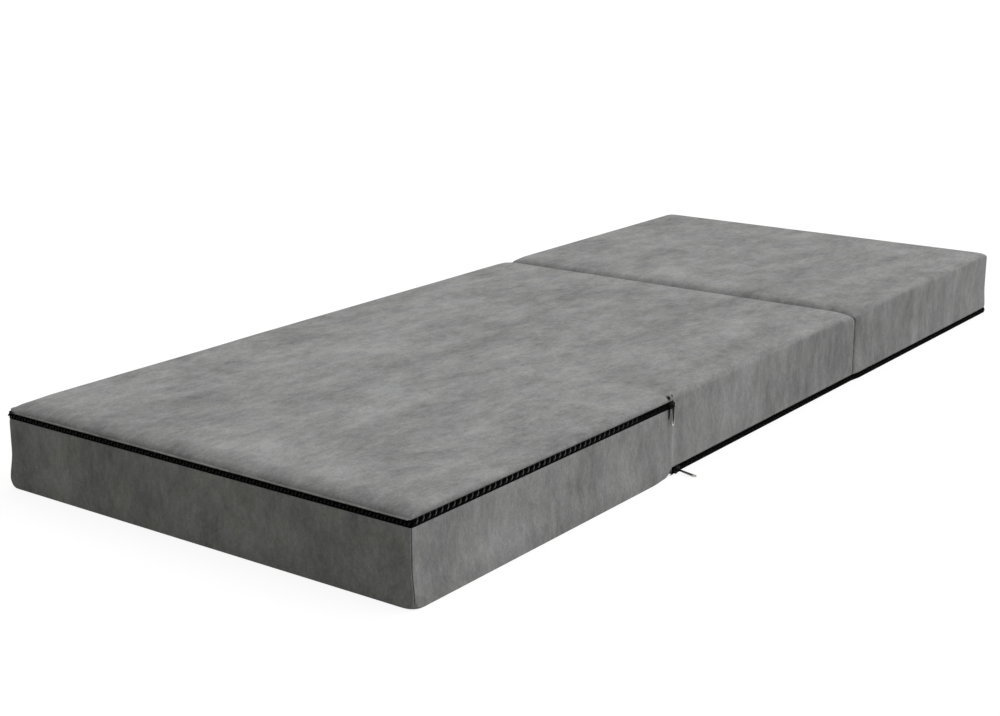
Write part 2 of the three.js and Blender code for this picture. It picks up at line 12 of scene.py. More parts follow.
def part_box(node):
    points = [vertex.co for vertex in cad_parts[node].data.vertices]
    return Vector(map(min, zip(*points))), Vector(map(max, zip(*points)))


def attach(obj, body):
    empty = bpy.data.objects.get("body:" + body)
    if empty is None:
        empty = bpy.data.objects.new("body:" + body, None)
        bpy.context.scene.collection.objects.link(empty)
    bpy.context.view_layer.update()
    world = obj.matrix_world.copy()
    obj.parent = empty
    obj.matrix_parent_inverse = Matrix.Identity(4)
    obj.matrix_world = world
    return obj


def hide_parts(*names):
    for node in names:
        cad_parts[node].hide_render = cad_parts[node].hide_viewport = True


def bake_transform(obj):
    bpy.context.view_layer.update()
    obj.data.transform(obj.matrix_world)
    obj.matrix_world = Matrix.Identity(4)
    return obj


bl_info = {
    "name": "Folding mattress",
    "version": (1, 0, 0),
    "blender": (4, 5, 0),
    "location": "View3D > Sidebar > Mattress",
    "description": "Dresses the packed folding mattress in velour, zips and foam",
    "category": "Object",
}

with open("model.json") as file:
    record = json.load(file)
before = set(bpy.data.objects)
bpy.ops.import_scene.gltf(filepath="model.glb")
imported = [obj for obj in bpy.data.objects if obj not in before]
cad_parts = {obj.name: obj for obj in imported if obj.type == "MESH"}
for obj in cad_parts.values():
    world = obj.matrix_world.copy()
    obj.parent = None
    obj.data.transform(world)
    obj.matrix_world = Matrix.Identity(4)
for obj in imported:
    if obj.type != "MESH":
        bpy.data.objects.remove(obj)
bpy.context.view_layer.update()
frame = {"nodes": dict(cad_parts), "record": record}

MM = 0.001
# Sides of a section, in the order in which its outline runs.
NEAR, RIGHT, FAR, LEFT = range(4)

cover_low, cover_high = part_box("middle_cover")
tray_low, tray_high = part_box("foot_tray")
head_low, head_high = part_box("head_cover")
foot_fold_y = (tray_high.y + cover_low.y) / 2
head_fold_y = (cover_high.y + head_low.y) / 2


class MattressSizes(bpy.types.PropertyGroup):
    """Sizes of the three sections and their edges"""

    half_width: FloatProperty(
        name="Half width", description="From the middle of the mattress to either long side",
        default=cover_high.x, unit="LENGTH")
    thickness: FloatProperty(
        name="Thickness", description="From the underside to the top",
        default=cover_high.z, unit="LENGTH")
    crown_width: FloatProperty(
        name="Near crown width", description="How far in from its near end the foot's top stays rounded",
        default=0.040, unit="LENGTH")
    shoulder_drop: FloatProperty(
        name="Shoulder drop", description="How far down the side the rounding of the top reaches",
        default=0.020, unit="LENGTH")
    puff: FloatProperty(
        name="Puff", description="How far the foam lifts the top cloth past the nominal thickness",
        default=0.0018, unit="LENGTH")
    side_crown: FloatProperty(
        name="Right crown width", description="How far in from the right side the top stays rounded",
        default=0.012, unit="LENGTH")
    left_crown: FloatProperty(
        name="Left crown width", description="How far in from the left side the top stays rounded",
        default=0.007, unit="LENGTH")
    left_bulge: FloatProperty(
        name="Left bulge", description="How far the left side stands out under its top edge",
        default=0.003, unit="LENGTH")
    far_crown: FloatProperty(
        name="Far crown width", description="How far in from the far end the top stays rounded",
        default=0.014, unit="LENGTH")
    groove_width: FloatProperty(
        name="Groove rounding", description="How far in from the groove the head's top stays rounded",
        default=0.034, unit="LENGTH")
    groove_lip: FloatProperty(
        name="Groove lip", description="How far in from the groove the middle's top stays rounded",
        default=0.020, unit="LENGTH")
    corner_radius: FloatProperty(
        name="Corner radius", description="Rounding of the upright corners at the two ends",
        default=0.0045, unit="LENGTH")
    fold_corner_radius: FloatProperty(
        name="Fold corner radius", description="Rounding of the upright corners beside a fold",
        default=0.0006, unit="LENGTH")
    under_roll: FloatProperty(
        name="Lower edge", description="Rounding of the edge round the foot's underside",
        default=0.0014, unit="LENGTH")
    tray_bulge: FloatProperty(
        name="Tray bulge", description="How far the foot's sides stand out just above the floor",
        default=0.0055, unit="LENGTH")
    head_spread: FloatProperty(
        name="Head spread", description="How far the head's sides stand out just above the floor",
        default=0.003, unit="LENGTH")
    ball_radius: FloatProperty(
        name="Ball corner radius", description="Rounding, seen from below, of the foot's two lower free corners",
        default=0.022, unit="LENGTH")
    ball_height: FloatProperty(
        name="Ball corner height", description="How far up the corner that rounding reaches",
        default=0.018, unit="LENGTH")
    curl_length: FloatProperty(
        name="Curl length", description="How far from the fold the foot's underside starts to curl up",
        default=0.042, unit="LENGTH")
    curl_height: FloatProperty(
        name="Curl height", description="How high the foot's underside curls at the fold",
        default=0.016, unit="LENGTH")
    cloth: FloatProperty(
        name="Cloth thickness", description="Thickness of the velour with its backing",
        default=0.0012, unit="LENGTH")


class ZipSizes(bpy.types.PropertyGroup):
    """Sizes of the two zips"""

    strip: FloatProperty(
        name="Strip width", description="Both tapes together, across the zip",
        default=0.011, unit="LENGTH")
    foot_height: FloatProperty(
        name="Foot zip height", description="Height of the foot zip's centre line",
        default=0.118, unit="LENGTH")
    main_height: FloatProperty(
        name="Long zip height", description="Height of the long zip's centre line",
        default=0.006, unit="LENGTH")
    tooth_pitch: FloatProperty(
        name="Tooth pitch", description="From one tooth to the next along the closed chain",
        default=0.0065, unit="LENGTH")
    stitch_pitch: FloatProperty(
        name="Stitch pitch", description="From one stitch to the next in the tape seams",
        default=0.0036, unit="LENGTH")


class ClothLook(bpy.types.PropertyGroup):
    """Colours of the cloth and the zips"""

    pile_dark: StringProperty(
        name="Pile, brushed down", description="Velour where the pile lies away from the light", default="#757575")
    pile_light: StringProperty(
        name="Pile, brushed up", description="Velour where the pile lies towards the light", default="#a8a8a7")
    lining: StringProperty(
        name="Lining", description="Woven lining at the folds", default="#6a6a69")
    foam: StringProperty(
        name="Foam", description="Cut polyurethane foam", default="#e6dfc9")
    zip_black: StringProperty(
        name="Zip black", description="Tapes, enamel and thread", default="#060606")


class StageLook(bpy.types.PropertyGroup):
    """Camera and light"""

    lens: FloatProperty(
        name="Lens", description="Focal length on a 36 mm sensor, in millimetres", default=61.26)
    eye: FloatVectorProperty(
        name="Eye", description="Where the camera stands", default=(1.6915, -2.5759, 0.898),
        subtype="TRANSLATION", unit="LENGTH")
    azimuth: FloatProperty(
        name="Azimuth", description="How far the view is turned from the length of the mattress",
        default=math.radians(36.155), subtype="ANGLE")
    dip: FloatProperty(
        name="Dip", description="How far the view looks down", default=math.radians(15.377), subtype="ANGLE")
    sky_strength: FloatProperty(
        name="Sky light", description="Strength of the soft light at its brightest side", default=1.50)
    sky_floor: FloatProperty(
        name="Sky floor", description="Strength of the soft light at its dimmest side", default=0.245)
    sky_height: FloatProperty(
        name="Sky height", description="Height of the bright side above the horizon",
        default=math.radians(50), subtype="ANGLE")
    sky_azimuth: FloatProperty(
        name="Sky azimuth", description="Direction of the bright side, from the mattress's right towards its head",
        default=math.radians(54), subtype="ANGLE")


# Settings of a colour mix, and its sockets: its share, its two colours and its result
COLOURS = {"data_type": "RGBA"}
COLOURS_MULTIPLIED = {"data_type": "RGBA", "blend_type": "MULTIPLY"}
SHARE, FIRST, SECOND, MIXED = 0, 6, 7, 2


def linear(code):
    """Turns an sRGB hex value into linear colour with full alpha."""
    shares = [int(code[at:at + 2], 16) / 255 for at in (1, 3, 5)]
    return tuple(c / 12.92 if c <= 0.04045 else ((c + 0.055) / 1.055) ** 2.4 for c in shares) + (1.0,)


def add(tree, kind, settings=None, sockets=None):
    """Adds a shader node of that kind, sets its settings, and fills or links its sockets."""
    node = tree.nodes.new("ShaderNode" + kind)
    for name, value in (settings or {}).items():
        setattr(node, name, value)
    for name, value in (sockets or {}).items():
        if isinstance(value, bpy.types.NodeSocket):
            tree.links.new(value, node.inputs[name])
        else:
            node.inputs[name].default_value = value
    return node


def new_material(name):
    """Makes a material with an empty node tree."""
    material = bpy.data.materials.new(name)
    material.use_nodes = True
    material.node_tree.nodes.clear()
    return material, material.node_tree


def brushed_velour(tree, look):
    """Brushed knitted polyester: short pile that lies in soft streaks, so the eye sees cloudy light and dark
    patches longer than wide, a fine grain, and hardly any shine."""
    coords = add(tree, "TexCoord")
    place = coords.outputs["Object"]
    facing = add(tree, "SeparateXYZ", sockets={"Vector": coords.outputs["Normal"]})
    upright = add(tree, "Math", {"operation": "ABSOLUTE"}, {0: facing.outputs["Z"]}).outputs[0]
    flat = add(tree, "MapRange", sockets={
        "Value": upright, "From Min": 0.35, "From Max": 0.8}).outputs["Result"]
    # Streaks run along the length on top, and up and down on the sides. The largest are 125 mm by 250 mm.
    lengthways = add(tree, "Mapping", sockets={"Vector": place, "Scale": (1.0, 0.5, 1.0)}).outputs[0]
    upwards = add(tree, "Mapping", sockets={"Vector": place, "Scale": (0.8, 1.0, 0.45)}).outputs[0]
    laid = add(tree, "TexNoise", sockets={
        "Vector": lengthways, "Scale": 8.0, "Detail": 6.0, "Roughness": 0.92, "Distortion": 0.1}).outputs["Fac"]
    hung = add(tree, "TexNoise", sockets={
        "Vector": upwards, "Scale": 8.0, "Detail": 6.0, "Roughness": 0.92, "Distortion": 0.1}).outputs["Fac"]
    clouds = add(tree, "Mix", sockets={"Factor": flat, "A": hung, "B": laid}).outputs["Result"]
    # Pile grain is about 0.5 mm and too fine to show, so it is drawn at 3 mm.
    grain = add(tree, "TexNoise", sockets={
        "Vector": place, "Scale": 320.0, "Detail": 2.0, "Roughness": 0.7}).outputs["Fac"]
    patch = add(tree, "MapRange", sockets={
        "Value": clouds, "From Min": 0.32, "From Max": 0.68}).outputs["Result"]
    speck = add(tree, "MapRange", sockets={
        "Value": grain, "From Min": 0.30, "From Max": 0.70, "To Min": -0.10, "To Max": 0.10}).outputs["Result"]
    colour = add(tree, "Mix", COLOURS, {
        SHARE: patch, FIRST: linear(look.pile_dark), SECOND: linear(look.pile_light)}).outputs[MIXED]
    # The dye drifts a little between a warm and a cool grey, over some 60 mm.
    drift = add(tree, "TexNoise", sockets={
        "Vector": place, "Scale": 16.0, "Detail": 3.0, "Roughness": 0.7}).outputs["Fac"]
    dye = add(tree, "MapRange", sockets={
        "Value": drift, "From Min": 0.35, "From Max": 0.65}).outputs["Result"]
    tint = add(tree, "Mix", COLOURS, {
        SHARE: dye, FIRST: (1.005, 1.0, 0.985, 1.0), SECOND: (0.995, 1.0, 1.015, 1.0)}).outputs[MIXED]
    colour = add(tree, "Mix", COLOURS_MULTIPLIED, {
        SHARE: 1.0, FIRST: colour, SECOND: tint}).outputs[MIXED]
    # On the near end the colour is darkened and turned a little green, partly for the pile that hangs down there
    # and partly as painted shade on the end that faces away from the light.
    near_end_shade = add(tree, "MapRange", sockets={
        "Value": facing.outputs["Y"], "From Min": -0.75, "From Max": -0.97}).outputs["Result"]
    colour = add(tree, "Mix", COLOURS_MULTIPLIED, {
        SHARE: near_end_shade, FIRST: colour, SECOND: (0.74, 0.755, 0.70, 1.0)}).outputs[MIXED]
    # Painted light and shade from each point of the mesh, with the pile pressed flat in the seams: darker in seams,
    # creases, gathers and towards the groove, lighter in lines along folds and zip edges.
    tone = add(tree, "Attribute", {"attribute_name": "tone"}).outputs["Fac"]
    pressed = add(tree, "Math", {"operation": "ADD"}, {0: tone, 1: 1.0}).outputs[0]
    light_marked = add(tree, "Math", {"operation": "ADD"}, {0: pressed, 1: speck}).outputs[0]
    colour = add(tree, "VectorMath", {"operation": "SCALE"}, {0: colour, "Scale": light_marked}).outputs[0]
    pile = add(tree, "Bump", sockets={
        "Strength": 0.35, "Distance": 0.0006, "Height": grain}).outputs["Normal"]
    lay = add(tree, "Bump", sockets={
        "Strength": 0.25, "Distance": 0.003, "Height": clouds, "Normal": pile}).outputs["Normal"]
    return add(tree, "BsdfPrincipled", sockets={
        "Base Color": colour, "Roughness": 0.95, "Specular IOR Level": 0.08,
        "Sheen Weight": 0.04, "Sheen Roughness": 0.5, "Normal": lay}).outputs["BSDF"]


def woven_lining(tree, look):
    """Plain-weave polyester lining: flat threads 0.6 mm apart, drawn at 2 mm so that they show, darker than
    the pile."""
    place = add(tree, "TexCoord").outputs["Object"]
    warp = add(tree, "TexWave", {"bands_direction": "X"}, {
        "Vector": place, "Scale": 160.0, "Distortion": 0.6, "Detail": 1.0}).outputs["Fac"]
    weft = add(tree, "TexWave", {"bands_direction": "Z"}, {
        "Vector": place, "Scale": 160.0, "Distortion": 0.6, "Detail": 1.0}).outputs["Fac"]
    threads = add(tree, "Math", {"operation": "MULTIPLY"}, {0: warp, 1: weft}).outputs[0]
    clouds = add(tree, "TexNoise", sockets={
        "Vector": place, "Scale": 14.0, "Detail": 4.0, "Roughness": 0.6}).outputs["Fac"]
    patch = add(tree, "MapRange", sockets={
        "Value": clouds, "From Min": 0.3, "From Max": 0.7}).outputs["Result"]
    gaps = add(tree, "MapRange", sockets={
        "Value": threads, "To Min": 0.35, "To Max": 0.0}).outputs["Result"]
    dark = linear("#565655")
    colour = add(tree, "Mix", COLOURS, {
        SHARE: patch, FIRST: dark, SECOND: linear(look.lining)}).outputs[MIXED]
    colour = add(tree, "Mix", COLOURS, {
        SHARE: gaps, FIRST: colour, SECOND: dark}).outputs[MIXED]
    weave = add(tree, "Bump", sockets={
        "Strength": 0.5, "Distance": 0.0004, "Height": threads}).outputs["Normal"]
    return add(tree, "BsdfPrincipled", sockets={
        "Base Color": colour, "Roughness": 0.8, "Specular IOR Level": 0.2, "Normal": weave}).outputs["BSDF"]


def cut_foam(tree, look):
    """Polyurethane foam cut with a band knife: pale cream, matt, with pores under 1 mm drawn at 3 mm."""
    place = add(tree, "TexCoord").outputs["Object"]
    pores = add(tree, "TexVoronoi", sockets={"Vector": place, "Scale": 330.0}).outputs["Distance"]
    clouds = add(tree, "TexNoise", sockets={
        "Vector": place, "Scale": 10.0, "Detail": 3.0}).outputs["Fac"]
    patch = add(tree, "MapRange", sockets={
        "Value": clouds, "From Min": 0.3, "From Max": 0.7}).outputs["Result"]
    hollows = add(tree, "MapRange", sockets={
        "Value": pores, "From Max": 0.5, "To Min": 0.5, "To Max": 0.0}).outputs["Result"]
    colour = add(tree, "Mix", COLOURS, {
        SHARE: patch, FIRST: linear("#d8cfb4"), SECOND: linear(look.foam)}).outputs[MIXED]
    colour = add(tree, "Mix", COLOURS, {
        SHARE: hollows, FIRST: colour, SECOND: linear("#b5a988")}).outputs[MIXED]
    cells = add(tree, "Bump", sockets={
        "Strength": 0.6, "Distance": 0.0008, "Height": pores}).outputs["Normal"]
    return add(tree, "BsdfPrincipled", sockets={
        "Base Color": colour, "Roughness": 0.95, "Specular IOR Level": 0.1, "Normal": cells}).outputs["BSDF"]


def woven_tape(tree, look):
    """Herringbone polyester tape, dyed black: slanting ribs 1 mm apart, drawn at 2 mm so that they show, and hardly
    any shine."""
    along = add(tree, "TexCoord").outputs["UV"]
    ribs = add(tree, "TexWave", {"bands_direction": "DIAGONAL"}, {
        "Vector": along, "Scale": 220.0, "Distortion": 0.3, "Detail": 1.0}).outputs["Fac"]
    wear_and_highlight = add(tree, "TexNoise", sockets={
        "Vector": along, "Scale": 60.0, "Detail": 3.0}).outputs["Fac"]
    rubbed = add(tree, "MapRange", sockets={
        "Value": wear_and_highlight, "From Min": 0.45, "From Max": 0.8, "To Max": 0.6}).outputs["Result"]
    colour = add(tree, "Mix", COLOURS, {
        SHARE: ribs, FIRST: linear("#020202"), SECOND: linear(look.zip_black)}).outputs[MIXED]
    colour = add(tree, "Mix", COLOURS, {
        SHARE: rubbed, FIRST: colour, SECOND: linear("#0c0c0c")}).outputs[MIXED]
    weave = add(tree, "Bump", sockets={
        "Strength": 0.6, "Distance": 0.0003, "Height": ribs}).outputs["Normal"]
    return add(tree, "BsdfPrincipled", sockets={
        "Base Color": colour, "Roughness": 0.95, "Specular IOR Level": 0.02, "Normal": weave}).outputs["BSDF"]


def moulded_nylon(tree, look):
    """Moulded nylon teeth, black and fresh from the mould: a faint satin edge only."""
    place = add(tree, "TexCoord").outputs["Object"]
    skin = add(tree, "TexNoise", sockets={
        "Vector": place, "Scale": 90.0, "Detail": 3.0}).outputs["Fac"]
    colour = add(tree, "Mix", COLOURS, {
        SHARE: skin, FIRST: linear("#030303"), SECOND: linear("#0c0c0c")}).outputs[MIXED]
    rough = add(tree, "MapRange", sockets={
        "Value": skin, "From Min": 0.3, "From Max": 0.7, "To Min": 0.35, "To Max": 0.5}).outputs["Result"]
    return add(tree, "BsdfPrincipled", sockets={
        "Base Color": colour, "Roughness": rough, "IOR": 1.53, "Specular IOR Level": 0.06}).outputs["BSDF"]


def highlit_nylon(tree, look):
    """The same teeth where a painted highlight makes them greyer, in patches, with a soft shine along each rounded
    back.
    """
    wear_and_highlight = add(tree, "Attribute", {"attribute_name": "wear_and_highlight"}).outputs["Fac"]
    place = add(tree, "TexCoord").outputs["Object"]
    highlight_patches = add(tree, "TexNoise", sockets={
        "Vector": place, "Scale": 240.0, "Detail": 3.0}).outputs["Fac"]
    share = add(tree, "Math", {"operation": "MULTIPLY"}, {0: wear_and_highlight, 1: highlight_patches}).outputs[0]
    colour = add(tree, "Mix", COLOURS, {
        SHARE: share, FIRST: linear("#080808"), SECOND: linear("#666664")}).outputs[MIXED]
    rough = add(tree, "MapRange", sockets={
        "Value": highlight_patches, "From Min": 0.3, "From Max": 0.7, "To Min": 0.28, "To Max": 0.42}).outputs["Result"]
    return add(tree, "BsdfPrincipled", sockets={
        "Base Color": colour, "Roughness": rough, "IOR": 1.53, "Specular IOR Level": 0.35}).outputs["BSDF"]


def stove_enamel(tree, look):
    """Stove enamel on die-cast zinc: black, even satin gloss, a little rubbed at the edges."""
    place = add(tree, "TexCoord").outputs["Object"]
    handled = add(tree, "TexNoise", sockets={
        "Vector": place, "Scale": 500.0, "Detail": 3.0}).outputs["Fac"]
    share = add(tree, "MapRange", sockets={
        "Value": handled, "From Min": 0.4, "From Max": 0.8}).outputs["Result"]
    colour = add(tree, "Mix", COLOURS, {
        SHARE: share, FIRST: linear(look.zip_black), SECOND: linear("#0f0f0f")}).outputs[MIXED]
    rough = add(tree, "MapRange", sockets={
        "Value": handled, "From Min": 0.3, "From Max": 0.7, "To Min": 0.40, "To Max": 0.55}).outputs["Result"]
    skin = add(tree, "Bump", sockets={
        "Strength": 0.2, "Distance": 0.0001, "Height": handled}).outputs["Normal"]
    return add(tree, "BsdfPrincipled", sockets={
        "Base Color": colour, "Roughness": rough, "Specular IOR Level": 0.06, "Normal": skin}).outputs["BSDF"]


def nickel_plate(tree, look):
    """Nickel plate on die-cast zinc: dark grey over most of it as painted shade, and bright nickel at its tip with
    a painted highlight.
    """
    wear_and_highlight = add(tree, "Attribute", {"attribute_name": "wear_and_highlight"}).outputs["Fac"]
    place = add(tree, "TexCoord").outputs["Object"]
    marks = add(tree, "TexNoise", sockets={
        "Vector": place, "Scale": 700.0, "Detail": 4.0, "Roughness": 0.6}).outputs["Fac"]
    shaded_stem = add(tree, "Mix", COLOURS, {
        SHARE: marks, FIRST: linear("#1d1d1c"), SECOND: linear("#30302f")}).outputs[MIXED]
    colour = add(tree, "Mix", COLOURS, {
        SHARE: wear_and_highlight, FIRST: shaded_stem, SECOND: linear("#d8d6d1")}).outputs[MIXED]
    rough = add(tree, "MapRange", sockets={
        "Value": wear_and_highlight, "To Min": 0.55, "To Max": 0.28}).outputs["Result"]
    return add(tree, "BsdfPrincipled", sockets={
        "Base Color": colour, "Metallic": 1.0, "Roughness": rough,
        "Specular Tint": (0.45, 0.45, 0.45, 1)}).outputs["BSDF"]


def spun_thread(tree, look):
    """Spun polyester thread, black, twisted, matt."""
    place = add(tree, "TexCoord").outputs["Object"]
    twist = add(tree, "TexNoise", sockets={
        "Vector": place, "Scale": 1500.0, "Detail": 2.0}).outputs["Fac"]
    colour = add(tree, "Mix", COLOURS, {
        SHARE: twist, FIRST: linear(look.zip_black), SECOND: linear("#1c1c1c")}).outputs[MIXED]
    return add(tree, "BsdfPrincipled", sockets={
        "Base Color": colour, "Roughness": 0.8, "Specular IOR Level": 0.05}).outputs["BSDF"]


makers = {
    "brushed_polyester_velour": brushed_velour, "plain_weave_polyester_lining": woven_lining,
    "cut_polyurethane_foam": cut_foam, "herringbone_polyester_zip_tape": woven_tape,
    "black_moulded_nylon": moulded_nylon, "highlit_moulded_nylon": highlit_nylon,
    "black_stove_enamel_on_zinc": stove_enamel, "nickel_plated_zinc": nickel_plate,
    "spun_polyester_thread": spun_thread,
}
made = {}


def material_of(name):
    """The material of that name, made at its first use."""
    if name not in made:
        made[name], tree = new_material(name)
        surface = makers[name](tree, bpy.context.scene.mattress_cloth)
        add(tree, "OutputMaterial", sockets={"Surface": surface})
    return made[name]


# Shares of a half corner at which its nodes stand, close together beside the upright seam
corner_shares = (0.0, 0.05, 0.11, 0.2, 0.36, 0.62, 1.0)
corner_steps = len(corner_shares) - 1
# How deep the cloth sinks at those nodes where a corner is sewn, in millimetres, and the painted shade (below 0) or
# light (above 0) that it gets there, where the pile is also pressed flat
seam_sink = (0.9, 0.8, 0.35, -0.1, -0.2, -0.05, 0.0)
seam_shade = (-0.6, -0.6, -0.4, -0.08, 0.02, 0.0, 0.0)
# Steps of a side between its corners, across and along, and how much they crowd towards its ends, from 0 to 1
side_steps = (84, 100)
end_crowding = 0.55
# Heights of the rings round the foot's lower edge, in millimetres, and the ring where its cloth ends at the fold
under_levels = (0.0, 0.15, 0.5, 1.1, 2.0, 3.5, 5.0, 7.5, 10.5, 14.0, 18.0)
curl_ring = under_levels.index(14.0)
# Distance between the rings of an upright side, and steps of the rounding over it
ring_step = 9 * MM
crown_steps = 10
# How far in the foot's top cloth starts above its zip, in millimetres, on the near side and on the long sides
near_start, side_start = 0.35, 0.8
# Air between the cloth of the foot section and the middle of its fold
hair = 0.05 * MM
NEAR_LEFT, NEAR_RIGHT, FAR_RIGHT, FAR_LEFT = range(4)


def half_corner(centre, radius, start, end):
    """Nodes on half a rounded corner, from angle start to angle end, in degrees."""
    dense_first = start % 90 == 45
    shares = corner_shares if dense_first else [1 - s for s in reversed(corner_shares)]
    turns = [math.radians(start + (end - start) * s) for s in shares]
    return [(centre[0] + radius * math.cos(t), centre[1] + radius * math.sin(t)) for t in turns]


def outline(edges, insets, radii):
    """Rounded rectangle as one closed row of points. edges are near y, right x, far y and left x, insets the same,
    radii those of the near right, far right, far left and near left corners."""
    y0, x1, y1, x0 = (edges[NEAR] + insets[NEAR], edges[RIGHT] - insets[RIGHT],
                      edges[FAR] - insets[FAR], edges[LEFT] + insets[LEFT])
    nr, fr, fl, nl = radii
    centres = ((x1 - nr, y0 + nr), (x1 - fr, y1 - fr), (x0 + fl, y1 - fl), (x0 + nl, y0 + nl))
    sides = (
        (centres[3], nl, 225, centres[0], nr), (centres[0], nr, 315, centres[1], fr),
        (centres[1], fr, 405, centres[2], fl), (centres[2], fl, 495, centres[3], nl))
    row = []
    for side, (first, first_radius, angle, last, last_radius) in enumerate(sides):
        start = half_corner(first, first_radius, angle, angle + 45)
        end = half_corner(last, last_radius, angle + 45, angle + 90)
        count = side_steps[side % 2]
        middle = []
        for k in range(1, count):
            crowded = (1 - math.cos(math.pi * k / count)) / 2
            share = (1 - end_crowding) * k / count + end_crowding * crowded
            middle.append(tuple(a + (b - a) * share for a, b in zip(start[-1], end[0])))
        row += (start + middle + end)[:-1]
    return row


def cap(row, grid):
    """Fills a closed row with a grid of points that follows its four sides."""
    across, along = grid
    near = row[0:across + 1]
    right = row[across:across + along + 1]
    far = row[across + along:2 * across + along + 1][::-1]
    left = np.vstack([row[2 * across + along:], row[:1]])[::-1]

    def shares(points):
        steps = np.linalg.norm(np.diff(points, axis=0), axis=1)
        run = np.concatenate([[0], np.cumsum(steps)])
        return run / run[-1]

    u = (0.5 * (shares(near) + shares(far)))[:, None, None]
    v = (0.5 * (shares(left) + shares(right)))[None, :, None]
    return ((1 - v) * near[:, None] + v * far[:, None] + (1 - u) * left[None] + u * right[None]
            - (1 - u) * (1 - v) * near[0] - u * (1 - v) * near[-1] - (1 - u) * v * far[0] - u * v * far[-1])


class Shell:
    """Closed skin of a section: rings of points up its sides, and a grid over its bottom and its top."""

    def __init__(self, edges, rings):
        self.grid = (side_steps[0] + 2 * corner_steps, side_steps[1] + 2 * corner_steps)
        across, along = self.grid
        self.columns = 2 * (across + along)
        rows = []
        for level, insets, radii in rings:
            flat = outline(edges, insets, radii)
            rows.append(np.array([(x, y, level) for x, y in flat]))
        self.rings = np.array(rows)
        self.levels = [ring[0] for ring in rings]
        self.bottom = cap(self.rings[0], self.grid)
        self.top = cap(self.rings[-1], self.grid)
        # How far along the outline each column stands, measured on a ring halfway up
        widest = np.vstack([self.rings[len(rings) // 2], self.rings[len(rings) // 2][:1]])
        self.run = np.concatenate([[0], np.cumsum(np.linalg.norm(np.diff(widest, axis=0), axis=1))])[:-1]
        # The column in the middle of each corner
        self.corners = (0, across, across + along, 2 * across + along)
        self.side = np.zeros(self.columns, int)
        self.in_corner = np.zeros(self.columns, bool)
        for side, start in enumerate(self.corners):
            self.side[start:] = side
            for k in range(-corner_steps, corner_steps):
                self.in_corner[(start + k) % self.columns] = True
        self.number()
        # Painted light and shade for each point, with the pile pressed flat at the seams.
        self.tone = np.zeros(len(self.points))

    def number(self):
        """Numbers the points: ring points first, then the inner points of both grids."""
        across, along = self.grid
        count = len(self.rings)
        ring_ids = np.arange(count * self.columns).reshape(count, self.columns)
        points = [self.rings.reshape(-1, 3)]
        total = count * self.columns
        grids = []
        for grid, ids in ((self.bottom, ring_ids[0]), (self.top, ring_ids[-1])):
            table = np.zeros((across + 1, along + 1), int)
            table[:, 0] = ids[:across + 1]
            table[across, :] = ids[across:across + along + 1]
            table[::-1, along] = ids[across + along:2 * across + along + 1]
            table[0, ::-1] = np.concatenate([ids[2 * across + along:], ids[:1]])
            inner = grid[1:-1, 1:-1].reshape(-1, 3)
            table[1:-1, 1:-1] = total + np.arange(len(inner)).reshape(across - 1, along - 1)
            total += len(inner)
            points.append(inner)
            grids.append(table)
        self.points = np.vstack(points)
        self.ring_ids = ring_ids
        self.bottom_ids, self.top_ids = grids

    def upper(self, first):
        """Numbers of the points from ring first up, the top's among them."""
        return np.unique(np.concatenate([self.ring_ids[first:].ravel(), self.top_ids.ravel()]))

    def wall(self, keep):
        """Faces between rings. keep says for a ring step, a side and whether the column is in a corner."""
        faces = []
        for k in range(len(self.rings) - 1):
            low, high = self.ring_ids[k], self.ring_ids[k + 1]
            for c in range(self.columns):
                if keep(k, self.side[c], self.in_corner[c]):
                    d = (c + 1) % self.columns
                    faces.append((low[c], low[d], high[d], high[c]))
        return faces

    def lid(self, ids, up):
        """Faces of the grid over the top or the bottom."""
        a, b, c, d = ids[:-1, :-1], ids[1:, :-1], ids[1:, 1:], ids[:-1, 1:]
        order = (a, b, c, d) if up else (d, c, b, a)
        return np.stack([x.ravel() for x in order], 1).tolist()

    def normals(self):
        """Outward direction at each point. On the plane of a fold it has no part across the fold."""
        faces = np.array(self.wall(lambda k, side, corner: True) + self.lid(self.top_ids, True)
                         + self.lid(self.bottom_ids, False))
        p = self.points
        diagonal = np.cross(p[faces[:, 2]] - p[faces[:, 0]], p[faces[:, 3]] - p[faces[:, 1]])
        total = np.zeros_like(p)
        for corner in range(4):
            np.add.at(total, faces[:, corner], diagonal)
        total /= np.maximum(np.linalg.norm(total, axis=1, keepdims=True), 1e-12)
        for plane in self.folds:
            total[np.abs(p[:, 1] - plane) < 0.05 * MM, 1] = 0
        # A point where the faces cancel each other has no direction.
        weak = 0.3
        length = np.linalg.norm(total, axis=1, keepdims=True)
        return np.where(length > weak, total / np.maximum(length, weak), 0)


def put_in_scene(name, data):
    """Puts a new object with that data into the scene."""
    item = bpy.data.objects.new(name, data)
    bpy.context.scene.collection.objects.link(item)
    return item


def mark_points(mesh, mark, values):
    """Gives each point of a mesh a named value."""
    layer = mesh.attributes.new(mark, "FLOAT", "POINT")
    layer.data.foreach_set("value", np.asarray(values).astype(np.float32))


def thicken(work, thickness):
    """Gives a cloth its thickness: a second skin on the inner side, and a rim along the open edges."""
    work.normal_update()
    rim = [edge.link_loops[0] for edge in work.edges if edge.is_boundary]
    ends = [(loop.vert, loop.link_loop_next.vert) for loop in rim]
    outer = list(work.faces)
    inner = {v: work.verts.new(v.co - v.normal * thickness, v) for v in list(work.verts)}
    for face in outer:
        work.faces.new([inner[v] for v in reversed(face.verts)])
    for a, b in ends:
        work.faces.new((b, a, inner[a], inner[b]))


